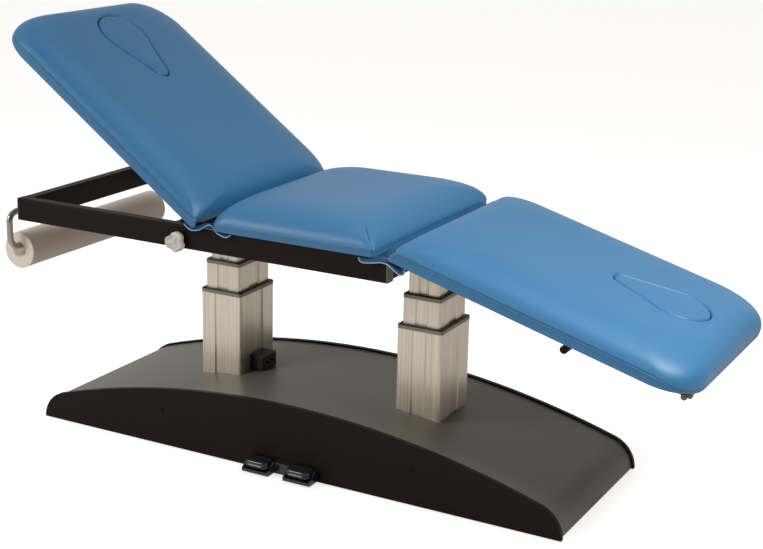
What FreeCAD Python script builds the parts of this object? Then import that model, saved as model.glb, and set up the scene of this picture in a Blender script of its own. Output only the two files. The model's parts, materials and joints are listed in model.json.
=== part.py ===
import FreeCAD, Part
import math
import os
import re
import Sketcher

# Three-section treatment table on two telescopic columns, in millimetres.
# X runs from the backrest (minus) to the leg section (plus), Y from the pedal side
# (minus) to the far side, Z up. The origin is on the floor under the base's centre.

SIZES = {
    # arched base
    "base_length": 1484,
    "base_width": 491,
    "side_plate_thickness": 12,
    "side_plate_floor_gap": 4,
    "base_crown_height": 183,
    "base_crown_radius": 2299,
    "base_nose_radius": 80,
    "cover_thickness": 3,
    "cover_drop": 5,
    "cover_floor_gap": 6,
    "fit_gap": 0.3,
    "slide_clearance": 0.08,
    "pin_clearance": 0.05,
    "cut_overrun": 5,
    "floor_plate_inset": 52,
    "floor_plate_edge_inset": 6,
    "floor_plate_corner": 20,
    "floor_plate_thickness": 8,
    "rib_distance": 360,
    "rib_depth": 22,
    "rib_web": 32,
    "rib_window_corner": 10,
    "rib_hole_height": 95,
    "screw_radius": 2.5,
    "screw_head_radius": 5,
    "screw_head_height": 2.5,
    # lifting columns
    "column_distance": 287,
    "outer_section_x": 120,
    "outer_section_y": 160,
    "stage_step": 9,
    "stage_wall": 7,
    "stage_corner": 6,
    "stage_recess": 3,
    "recess_slope": 4,
    "outer_stage_height": 367,
    "collar_height": 11,
    "collar_overhang": 0.6,
    "collar_chamfer": 2,
    "stage_gap": 0.4,
    "rest_lift": 65,
    "mid_stage_length": 342,
    "inner_stage_length": 344,
    "head_block_height": 25.2,
    "head_block_margin": 5,
    "head_block_chamfer": 4,
    "foot_plate_reach": 25,
    "foot_flange_thickness": 10,
    "foot_bolt_inset": 12,
    "foot_bolt_radius": 7,
    "foot_bolt_height": 6,
    "foot_washer_radius": 9,
    "foot_washer_height": 2,
    "gear_block_x": 64,
    "gear_block_y": 90,
    "gear_block_height": 34,
    "motor_neck_radius": 7,
    "motor_axis_height": 26,
    "motor_radius": 25,
    "motor_length": 120,
    "motor_gap": 12,
    "motor_slot_margin": 3,
    "spindle_radius": 15,
    "spindle_length": 328,
    "mid_tube_wall": 5,
    "mid_tube_length": 330,
    "stage_plate_thickness": 8,
    "inner_nut_radius": 30,
    "inner_nut_height": 22,
    # parts inside and on the base
    "control_box_length": 166,
    "control_box_width": 150,
    "control_box_height": 62,
    "control_box_fillet": 6,
    "inlet_distance": 470,
    "inlet_height": 62,
    "inlet_width": 50,
    "inlet_tall": 32,
    "inlet_flange": 3,
    "inlet_depth": 36,
    "inlet_wall": 5,
    "inlet_socket_depth": 16,
    "inlet_corner": 4,
    "charger_width": 65,
    "charger_depth": 42,
    "charger_height": 40,
    "charger_side": -4,
    "charger_lift": 4,
    "charger_fillet": 4,
    "port_width": 13,
    "port_tall": 6,
    "port_depth": 9,
    "port_pitch": 24,
    "pedal_pitch": 59,
    "pedal_width": 66,
    "pedal_reach": 44,
    "pedal_top_height": 40,
    "pedal_front_height": 22,
    "pedal_back_height": 21,
    "pedal_front_fall": 4,
    "pedal_crown_inset": 6,
    "pedal_fillet": 1.5,
    "pedal_rod_radius": 2.5,
    "pedal_rod_height": 31,
    "pedal_rod_inset": 8,
    "pedal_plate_gap": 2,
    "pedal_side_gap": 1,
    "pedal_shift": 11,
    "housing_end": 4,
    "housing_floor_gap": 8,
    "housing_height": 9,
    "housing_middle_reach": 16,
    "housing_wall_height": 36,
    "housing_fillet": 2,
    # upper frame
    "frame_head_end": 761.5,
    "frame_foot_end": 311.7,
    "frame_width": 596,
    "beam_width": 30,
    "beam_height": 58,
    "beam_wall": 3,
    "beam_corner": 4,
    "end_cap_thickness": 2.5,
    "cross_width": 50,
    "cross_height": 40,
    "left_cross_inset": 19,
    "right_cross_inset": 6,
    "spring_cross_x": 60,
    "spring_cross_width": 40,
    "spring_cross_height": 25,
    # hinges of the backrest and the leg section
    "back_hinge_x": 218,
    "back_hinge_drop": 7,
    "leg_hinge_x": 311.3,
    "leg_hinge_rise": 9,
    "backrest_tilt": 35.8,
    "leg_tilt": 15.6,
    "flat_gap": 0.5,
    "hinge_pin_radius": 5,
    "back_boss_radius": 7,
    "leg_boss_radius": 8,
    "ear_thickness": 6,
    "ear_width": 34,
    "ear_depth": 32,
    "leg_ear_width": 16,
    "leg_ear_depth": 26,
    "arm_thickness": 5,
    "arm_gap": 1,
    "pin_tail": 3,
    "back_arm_length": 260,
    "back_arm_end_drop": 9,
    "back_tube_radius": 9,
    "back_tube_inset": 18,
    # star knob that locks the backrest
    "lock_x": 258.3,
    "lock_height": 18.8,
    "lock_bolt_radius": 4,
    "lock_hole_gap": 0.3,
    "lock_slot_gap": 0.4,
    "lock_head_radius": 8,
    "lock_head_height": 5,
    "lock_travel": 75,
    "lock_spare_travel": 3,
    "quadrant_rim": 5,
    "knob_boss_radius": 10,
    "knob_boss_height": 5,
    "knob_height": 22,
    "knob_hub_radius": 15,
    "knob_lobe_radius": 10,
    "knob_lobe_distance": 15.5,
    "knob_fillet": 4,
    "knob_cap_wall": 4,
    # boards and pads
    "pad_width": 620,
    "pad_thickness": 75.5,
    "pad_side_fall": 178,
    "pad_end_fall": 79.5,
    "pad_top_corner": 130,
    "board_thickness": 12,
    "board_inset": 13,
    "backrest_start": 3.2,
    "backrest_end": 718.3,
    "seat_head_end": 158.1,
    "seat_foot_end": 263.7,
    "leg_start": 14.5,
    "leg_end": 746.3,
    "pad_hinge_corner": 20,
    "pad_free_corner": 103,
    "plug_wide_radius": 76,
    "plug_narrow_radius": 27,
    "plug_length": 238,
    "plug_head_margin": 69.3,
    "leg_plug_head_margin": 80.4,
    "plug_gap": 0.8,
    "plug_ledge": 12,
    "plug_seat_gap": 0.3,
    # vinyl strips over the two hinge gaps
    "strip_thickness": 2,
    "strip_overhang": 1,
    "back_strip_width": 22.7,
    "leg_strip_start": 294,
    "strip_slot_margin": 4,
    "back_skirt_start": 222,
    "back_skirt_length": 124,
    "leg_skirt_length": 74,
    "skirt_drop": 11,
    # leg section's frame, spring and bars
    "leg_arm_knee": 32,
    "leg_arm_knee_drop": 20,
    "leg_arm_heel": 45,
    "leg_arm_drop": 24,
    "leg_arm_length": 441,
    "leg_arm_chamfer": 7,
    "leg_tube_x": 98,
    "leg_tube_radius": 9,
    "spring_y": 120,
    "spring_foot_x": 60,
    "spring_foot_drop": 31,
    "spring_lug_x": 66,
    "spring_lug_drop": 70,
    "spring_lug_plate": 4,
    "spring_lug_radius": 11,
    "spring_eye_radius": 10,
    "spring_eye_width": 9,
    "spring_eye_gap": 0.6,
    "spring_pin_radius": 4,
    "spring_open_bore": 7,
    "spring_rod_eye_radius": 11,
    "spring_tube_start": 20,
    "spring_tube_length": 180,
    "spring_tube_radius": 11,
    "spring_tube_wall": 2,
    "spring_tube_cap": 12,
    "spring_rod_radius": 5,
    "spring_piston_length": 14,
    "spring_piston_gap": 0.4,
    "spring_rod_tail": 110,
    "release_x": 455.9,
    "release_pivot_x": 415.9,
    "release_drop": 20.3,
    "release_radius": 9,
    "release_overhang": 4,
    "release_lever_thickness": 5,
    "release_lever_radius": 7,
    "release_pin_radius": 3,
    "handle_x": 722.9,
    "handle_bow": 24,
    "handle_radius": 7,
    "handle_half_length": 271,
    "handle_bow_start": 215,
    "handle_bow_end": 165,
    "handle_bend": 40,
    "handle_clamp_y": 240,
    "handle_clamp_width": 18,
    "handle_clamp_length": 40,
    "handle_gap": 1,
    # paper roll and its bar
    "roll_x": 800,
    "roll_height": 457.5,
    "roll_radius": 48,
    "roll_bore": 21,
    "roll_near_end": 255,
    "roll_length": 575,
    "bar_radius": 8,
    "bar_rest_gap": 0.3,
    "bar_flange_y": 251,
    "bar_flange_height": 580,
    "bar_flange_size": 46,
    "bar_flange_thickness": 4,
    "bar_flange_corner": 6,
    "bar_start_drop": 14,
    "bar_bow_reach": 36,
    "bar_bow_height": 556,
    "bar_start_bend": 14,
    "bar_bow_bend": 22,
    "bar_return_bend": 30,
    "bar_end_inset": 15,
}

# Places that follow from the sizes.
DERIVED = {
    "plate_inner": "base_width / 2 - side_plate_thickness",
    "floor_top": "floor_plate_thickness",
    "outer_top": "floor_top + outer_stage_height",
    "mid_top": "outer_top + collar_height + stage_gap + rest_lift",
    "mid_bottom": "mid_top - mid_stage_length",
    "head_bottom": "mid_top + collar_height + stage_gap + rest_lift",
    "inner_bottom": "head_bottom - inner_stage_length",
    "frame_bottom": "head_bottom + head_block_height",
    "frame_top": "frame_bottom + beam_height",
    "spring_foot_z": "frame_bottom - spring_foot_drop",
    "beam_inner": "frame_width / 2 - beam_width",
    "ear_inner": "beam_inner - ear_thickness",
    "arm_outer": "ear_inner - arm_gap",
    "arm_inner": "arm_outer - arm_thickness",
    "back_hinge_z": "frame_top - back_hinge_drop",
    "leg_hinge_z": "frame_top + leg_hinge_rise",
    "back_under": "back_hinge_drop + flat_gap",
    "leg_under": "flat_gap - leg_hinge_rise",
    "lock_z": "frame_bottom + lock_height",
    "lock_arm": "sqrt((lock_x - back_hinge_x)^2 + (back_hinge_z - lock_z)^2)",
    "bar_z": "roll_height + roll_bore - bar_radius - bar_rest_gap",
    "nose_x": "base_length / 2 - base_nose_radius",
}

doc = FreeCAD.newDocument("treatment_table")
sheet = doc.addObject("Spreadsheet::Sheet", "Sizes")
for row, (name, number) in enumerate(SIZES.items(), start=1):
    sheet.set(f"A{row}", name)
    sheet.set(f"B{row}", str(number))
    sheet.setAlias(f"B{row}", name)
doc.recompute()

SUBPARTS = {}


def formula(text):
    """An expression of the document, from one written in the names of SIZES and DERIVED."""
    def swap(match):
        word = match.group(0)
        if word in DERIVED:
            return "(" + formula(DERIVED[word]) + ")"
        return "Sizes." + word if word in SIZES else word
    return re.sub(r"[A-Za-z_][A-Za-z_0-9]*", swap, str(text))


def value(text):
    """The number that such an expression gives."""
    return float(sheet.evalExpression(formula(text)))


def vector(x, y, z):
    return FreeCAD.Vector(value(x), value(y), value(z))


def keep(label, thing):
    """Name a finished sub-part, which is then written to its own file."""
    thing.Label = label
    SUBPARTS[label] = thing
    return thing


def put(thing, x="0", y="0", z="0"):
    for axis, text in zip("xyz", (x, y, z)):
        thing.setExpression(f"Placement.Base.{axis}", formula(text))
    return thing


def tilt(thing, hinge):
    """Seat a body drawn about its hinge at that hinge, turned to its angle."""
    places = {"back": ("-back_hinge_x", "back_hinge_z", "backrest_tilt"),
              "leg": ("leg_hinge_x", "leg_hinge_z", "leg_tilt")}
    x, z, angle = places[hinge]
    turn = FreeCAD.Rotation(vector("0", "1", "0"), value(angle))
    thing.Placement = FreeCAD.Placement(vector(x, "0", z), turn)
    thing.setExpression("Placement.Rotation.Angle", formula(angle))
    return put(thing, x, "0", z)


def new_body(name):
    return doc.addObject("PartDesign::Body", name)


def new_sketch(body, role, at="0"):
    """A sketch on one of the body's own planes, moved to where that plane's axis reads at."""
    sketch = body.newObject("Sketcher::SketchObject", body.Name + "_sketch")
    plane = next(item for item in body.Origin.OriginFeatures if item.Role == role)
    sketch.AttachmentSupport = [(plane, "")]
    sketch.MapMode = "FlatFace"
    offset = f"-({at})" if role == "XZ_Plane" else at
    sketch.setExpression("AttachmentOffset.Base.z", formula(offset))
    return sketch


def arc_centre(start, end, radius, side):
    """Centre of the arc of under half a circle between two points, turning left or right."""
    chord = end - start
    height = math.sqrt(max(radius ** 2 - (chord.Length / 2) ** 2, 0))
    normal = FreeCAD.Vector(-chord.y, chord.x, 0).normalize()
    return (start + end) * 0.5 + normal * height * (1 if side == "left" else -1)


def draw_loop(sketch, corners):
    """A closed outline, each corner (x, y), or (x, y, radius, side) where an arc starts.

    Every corner is held by its two distances from the origin and every arc by its radius.
    """
    points = [vector(corner[0], corner[1], "0") for corner in corners]
    first = sketch.GeometryCount
    ends = []
    rules = []
    bound = []
    for step, corner in enumerate(corners):
        start, end = points[step], points[(step + 1) % len(points)]
        number = first + step
        if len(corner) == 2:
            sketch.addGeometry(Part.LineSegment(start, end))
            ends.append((1, 2))
            continue
        radius, side = value(corner[2]), corner[3]
        centre = arc_centre(start, end, radius, side)
        angles = [math.atan2(point.y - centre.y, point.x - centre.x) for point in (start, end)]
        if side == "right":
            angles.reverse()
        circle = Part.Circle(centre, FreeCAD.Vector(0, 0, 1), radius)
        sketch.addGeometry(Part.ArcOfCircle(circle, *angles))
        ends.append((1, 2) if side == "left" else (2, 1))
        rules.append(Sketcher.Constraint("Radius", number, radius))
        bound.append(corner[2])
    for step, corner in enumerate(corners):
        number, following = first + step, first + (step + 1) % len(corners)
        rules.append(Sketcher.Constraint("Coincident", number, ends[step][1],
                                         following, ends[(step + 1) % len(corners)][0]))
        bound.append(None)
        for kind, text, number_value in (("DistanceX", corner[0], points[step].x),
                                         ("DistanceY", corner[1], points[step].y)):
            rules.append(Sketcher.Constraint(kind, -1, 1, number, ends[step][0], number_value))
            bound.append(text)
    bind(sketch, rules, bound)
    return sketch


def draw_circle(sketch, x, y, radius):
    number = sketch.GeometryCount
    sketch.addGeometry(Part.Circle(vector(x, y, "0"), FreeCAD.Vector(0, 0, 1), value(radius)))
    rules = [Sketcher.Constraint("Radius", number, value(radius)),
             Sketcher.Constraint("DistanceX", -1, 1, number, 3, value(x)),
             Sketcher.Constraint("DistanceY", -1, 1, number, 3, value(y))]
    bind(sketch, rules, [radius, x, y])
    return sketch


def bind(sketch, rules, texts):
    """Add constraints and tie each that has a text to it."""
    start = sketch.ConstraintCount
    sketch.addConstraint(rules)
    for step, text in enumerate(texts):
        if text is not None:
            sketch.setExpression(f"Constraints[{start + step}]", formula(text))


def rounded(x0, x1, y0, y1, radii):
    """Corners of a rectangle with its four corners rounded, anticlockwise from (x0, y0)."""
    a, b, c, d = radii if isinstance(radii, (list, tuple)) else [radii] * 4
    return [(f"{x0} + {a}", y0), (f"{x1} - ({b})", y0, b, "left"),
            (x1, f"{y0} + {b}"), (x1, f"{y1} - ({c})", c, "left"),
            (f"{x1} - ({c})", y1), (f"{x0} + {d}", y1, d, "left"),
            (x0, f"{y1} - ({d})"), (x0, f"{y0} + {a}", a, "left")]


def rectangle(x0, x1, y0, y1):
    return [(x0, y0), (x1, y0), (x1, y1), (x0, y1)]


def strap(xa, ra, xb, rb, y):
    """Outline round two circles on one line, the first at the smaller x."""
    lean = f"(({rb}) - ({ra})) / (({xb}) - ({xa}))"
    rise = f"sqrt(1 - ({lean})^2)"
    return [(f"{xa} - ({ra}) * {lean}", f"{y} - ({ra}) * {rise}"),
            (f"{xb} - ({rb}) * {lean}", f"{y} - ({rb}) * {rise}", rb, "left"),
            (f"{xb} + {rb}", y, rb, "left"),
            (f"{xb} - ({rb}) * {lean}", f"{y} + ({rb}) * {rise}"),
            (f"{xa} - ({ra}) * {lean}", f"{y} + ({ra}) * {rise}", ra, "left"),
            (f"{xa} - ({ra})", y, ra, "left")]


def pad(body, sketch, length, way="up"):
    """Pad along the plane's own axis, towards plus for up, minus for down, or both."""
    feature = body.newObject("PartDesign::Pad", body.Name + "_pad")
    feature.Profile = sketch
    feature.setExpression("Length", formula(length))
    if way == "both":
        feature.SideType = "Symmetric"
    else:
        plane = sketch.AttachmentSupport[0][0].Role
        feature.Reversed = (way == "up") == (plane == "XZ_Plane")
    sketch.Visibility = False
    return feature


def cut_through(body, sketch):
    feature = body.newObject("PartDesign::Pocket", body.Name + "_cut")
    feature.Profile = sketch
    feature.Type = "ThroughAll"
    feature.SideType = "Symmetric"
    return feature


def cut_down(body, sketch, length, way):
    """Pocket of a stated depth, towards plus or minus along the plane's axis."""
    feature = body.newObject("PartDesign::Pocket", body.Name + "_pocket")
    feature.Profile = sketch
    feature.setExpression("Length", formula(length))
    plane = sketch.AttachmentSupport[0][0].Role
    feature.Reversed = (way == "up") != (plane == "XZ_Plane")
    return feature


def edges_where(feature, test):
    """Names of the feature's edges whose middle and direction pass a test."""
    names = []
    for number, edge in enumerate(feature.Shape.Edges, start=1):
        if test(edge):
            names.append(f"Edge{number}")
    return names


def dress(body, kind, feature, names, length):
    """Fillet or chamfer named edges of a feature."""
    soft = body.newObject("PartDesign::" + kind, body.Name + "_" + kind.lower())
    soft.Base = (feature, names)
    prop = "Radius" if kind == "Fillet" else "Size"
    soft.setExpression(prop, formula(length))
    return soft


def block(name, x0, x1, y0, y1, z0, z1):
    """A plain rectangular block between three pairs of places."""
    thing = doc.addObject("Part::Box", name)
    for prop, low, high in (("Length", x0, x1), ("Width", y0, y1), ("Height", z0, z1)):
        thing.setExpression(prop, formula(f"({high}) - ({low})"))
    return put(thing, x0, y0, z0)


def rod(name, radius, start, length, axis):
    """A round rod from a place along X, Y or Z."""
    thing = doc.addObject("Part::Cylinder", name)
    turns = {"x": FreeCAD.Rotation(FreeCAD.Vector(0, 1, 0), 90),
             "y": FreeCAD.Rotation(FreeCAD.Vector(1, 0, 0), -90),
             "z": FreeCAD.Rotation()}
    thing.Placement = FreeCAD.Placement(vector(*start), turns[axis])
    thing.setExpression("Radius", formula(radius))
    thing.setExpression("Height", formula(length))
    return put(thing, *start)


def join(name, things, kind="Part::MultiFuse"):
    thing = doc.addObject(kind, name)
    if kind == "Part::Compound":
        thing.Links = things
    else:
        thing.Shapes = things
    return thing


def minus(name, base, tool):
    thing = doc.addObject("Part::Cut", name)
    thing.Base = base
    thing.Tool = tool
    return thing


def bent_rod(points, radius, bends):
    """A round rod along straight runs joined by tangent arcs, a radius for each corner."""
    edges = []
    last = points[0]
    for before, corner, after, bend in zip(points, points[1:], points[2:], bends):
        one, two = (before - corner).normalize(), (after - corner).normalize()
        half = one.getAngle(two) / 2
        reach = bend / math.tan(half)
        middle = corner + (one + two).normalize() * (bend / math.sin(half) - bend)
        start, end = corner + one * reach, corner + two * reach
        edges.append(Part.LineSegment(last, start).toShape())
        edges.append(Part.Arc(start, middle, end).toShape())
        last = end
    edges.append(Part.LineSegment(last, points[-1]).toShape())
    spine = Part.Wire(edges)
    ring = Part.Wire([Part.Circle(points[0], points[1] - points[0], radius).toShape()])
    return spine.makePipeShell([ring], True, False)


def crown_arc(drop):
    """Half of the base's outline from its middle: the crown arc, the nose arc and the floor end."""
    big, nose = f"(base_crown_radius - {drop})", f"(base_nose_radius - {drop})"
    fall = "sqrt((base_crown_radius - base_nose_radius)^2 - nose_x^2)"
    centre = "(base_crown_height - base_crown_radius)"
    ratio = f"{big} / (base_crown_radius - base_nose_radius)"
    meet_x, meet_z = f"(nose_x * {ratio})", f"({centre} + {fall} * {ratio})"
    nose_z = f"({centre} + {fall})"
    return big, nose, meet_x, meet_z, nose_z


def base_outline(drop, bottom):
    """The arched outline at a depth below the side plates' edge, with a flat bottom."""
    big, nose, meet_x, meet_z, nose_z = crown_arc(drop)
    end_x = f"(nose_x + sqrt({nose}^2 - ({bottom} - {nose_z})^2))"
    top = f"base_crown_height - {drop}"
    return [(f"-{end_x}", bottom), (end_x, bottom, nose, "left"),
            (meet_x, meet_z, big, "left"), ("0", top, big, "left"),
            (f"-{meet_x}", meet_z, nose, "left")]


def make_base():
    """Floor plate, side plates, arched cover and the two ribs that carry it."""
    plate = new_body("floor_plate")
    half_length = "(base_length / 2 - floor_plate_inset)"
    half_width = "(plate_inner - floor_plate_edge_inset)"
    pad(plate, draw_loop(new_sketch(plate, "XY_Plane"),
                         rounded(f"-{half_length}", half_length, f"-{half_width}", half_width,
                                 "floor_plate_corner")), "floor_plate_thickness")
    keep("floor_plate", plate)

    for label, outer in (("near_side_plate", "-base_width / 2"), ("far_side_plate", "plate_inner")):
        side = new_body(label)
        sketch = new_sketch(side, "XZ_Plane", outer)
        pad(side, draw_loop(sketch, base_outline("0", "side_plate_floor_gap")), "side_plate_thickness")
        holes = new_sketch(side, "XZ_Plane")
        for sign in ("-", ""):
            draw_circle(holes, f"{sign}rib_distance", "rib_hole_height", "screw_radius + pin_clearance")
        if label == "far_side_plate":
            draw_loop(holes, rounded("-inlet_distance - inlet_width / 2 + inlet_wall",
                                     "-inlet_distance + inlet_width / 2 - inlet_wall",
                                     "inlet_height - inlet_tall / 2 + inlet_wall",
                                     "inlet_height + inlet_tall / 2 - inlet_wall", "inlet_corner"))
        cut_through(side, holes)
        keep(label, side)

    cover = new_body("base_cover")
    band = new_sketch(cover, "XZ_Plane")
    draw_loop(band, base_outline("cover_drop", "cover_floor_gap"))
    pad(cover, band, "2 * (plate_inner - fit_gap)", "both")
    hollow = new_sketch(cover, "XZ_Plane")
    inside = base_outline("(cover_drop + cover_thickness)", "cover_floor_gap")
    left, right = inside[0], inside[1]
    below = "cover_floor_gap - cut_overrun"
    draw_loop(hollow, [(left[0], below), (right[0], below), right] + inside[2:] + [left])
    cut_through(cover, hollow)
    openings = new_sketch(cover, "XY_Plane")
    for sign in ("-", ""):
        middle = f"{sign}column_distance"
        draw_loop(openings, rounded(f"{middle} - outer_section_x / 2 - fit_gap",
                                    f"{middle} + outer_section_x / 2 + fit_gap",
                                    "-outer_section_y / 2 - fit_gap", "outer_section_y / 2 + fit_gap",
                                    "stage_corner"))
    cut_through(cover, openings)
    keep("base_cover", cover)

    ribs = []
    reach = "rib_distance + rib_depth / 2"
    top = (f"(base_crown_height - base_crown_radius + sqrt((base_crown_radius - cover_drop"
           f" - cover_thickness)^2 - ({reach})^2) - fit_gap)")
    for name, middle in (("left_rib", "-rib_distance"), ("right_rib", "rib_distance")):
        rib = new_body(name)
        frame = new_sketch(rib, "YZ_Plane", middle)
        draw_loop(frame, rectangle("-plate_inner", "plate_inner", "floor_top", top))
        for low, high in (("-plate_inner + rib_web", "-rib_web / 2"),
                          ("rib_web / 2", "plate_inner - rib_web")):
            draw_loop(frame, rounded(low, high, "floor_top + rib_web", f"{top} - rib_web",
                                     "rib_window_corner"))
        pad(rib, frame, "rib_depth", "both")
        ribs.append(rib)
    keep("cover_ribs", join("cover_ribs", ribs, "Part::Compound"))

    screws = []
    for side in ("-", ""):
        for end in ("-", ""):
            x, z = f"{end}rib_distance", "rib_hole_height"
            shank_y = "plate_inner" if side == "" else "-base_width / 2"
            head_y = "base_width / 2" if side == "" else "-base_width / 2 - screw_head_height"
            head = rod("screw_head", "screw_head_radius", (x, head_y, z), "screw_head_height", "y")
            shank = rod("screw_shank", "screw_radius", (x, shank_y, z), "side_plate_thickness", "y")
            screws.append(join("side_screw", [head, shank]))
    keep("side_plate_screws", join("side_plate_screws", screws, "Part::Compound"))


def stage_half(step):
    """Half the outer section of a stage, counted inwards from the outer one."""
    return f"(outer_section_x / 2 - {step} * stage_step)", f"(outer_section_y / 2 - {step} * stage_step)"


def make_stage(label, step, middle, bottom, length, neck_side=None):
    """One hollow column stage, each face with its middle third set back between slopes."""
    half_x, half_y = stage_half(step)
    stage = new_body(label)
    section = new_sketch(stage, "XY_Plane")
    draw_loop(section, rounded(f"-{half_x}", half_x, f"-{half_y}", half_y, "stage_corner"))
    draw_loop(section, rounded(f"-{half_x} + stage_wall", f"{half_x} - stage_wall",
                               f"-{half_y} + stage_wall", f"{half_y} - stage_wall", "stage_corner / 2"))
    pad(stage, section, length)
    panels = new_sketch(stage, "XY_Plane")
    for sign in ("-", ""):
        outside = f"{sign}({half_y} + cut_overrun)"
        edge, deep = f"{sign}{half_y}", f"{sign}({half_y} - stage_recess)"
        draw_loop(panels, [(f"-{half_x} / 3", outside), (f"{half_x} / 3", outside), (f"{half_x} / 3", edge),
                           (f"{half_x} / 3 - recess_slope", deep), (f"-{half_x} / 3 + recess_slope", deep),
                           (f"-{half_x} / 3", edge)])
        outside = f"{sign}({half_x} + cut_overrun)"
        edge, deep = f"{sign}{half_x}", f"{sign}({half_x} - stage_recess)"
        draw_loop(panels, [(outside, f"-{half_y} / 3"), (outside, f"{half_y} / 3"), (edge, f"{half_y} / 3"),
                           (deep, f"{half_y} / 3 - recess_slope"), (deep, f"-{half_y} / 3 + recess_slope"),
                           (edge, f"-{half_y} / 3")])
    cut_through(stage, panels)
    if neck_side:
        slot = new_sketch(stage, "YZ_Plane")
        wide = "(motor_neck_radius + motor_slot_margin)"
        draw_loop(slot, rectangle(f"-{wide}", wide, "-cut_overrun", f"motor_axis_height + {wide}"))
        cut_down(stage, slot, f"{half_x} + cut_overrun", neck_side)
    put(stage, middle, "0", bottom)
    return keep(label, stage)


def make_collar(label, step, middle, bottom):
    """The plastic ring on top of a stage, with a running fit round the next one."""
    half_x, half_y = stage_half(step)
    next_x, next_y = stage_half(step + 1)
    collar = new_body(label)
    ring = new_sketch(collar, "XY_Plane")
    out_x, out_y = f"({half_x} + collar_overhang)", f"({half_y} + collar_overhang)"
    draw_loop(ring, rounded(f"-{out_x}", out_x, f"-{out_y}", out_y, "stage_corner"))
    in_x, in_y = f"({next_x} + fit_gap)", f"({next_y} + fit_gap)"
    draw_loop(ring, rounded(f"-{in_x}", in_x, f"-{in_y}", in_y, "stage_corner"))
    body = pad(collar, ring, "collar_height")
    doc.recompute()
    high, wide, deep = value("collar_height"), value(out_x), value(out_y)
    rim = edges_where(body, lambda edge: abs(edge.BoundBox.ZMin - high) < 1e-6 and (
        abs(abs(edge.BoundBox.Center.x) - wide) < 1e-6 or abs(abs(edge.BoundBox.Center.y) - deep) < 1e-6))
    dress(collar, "Chamfer", body, rim, "collar_chamfer")
    put(collar, middle, "0", bottom)
    return keep(label, collar)


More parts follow.
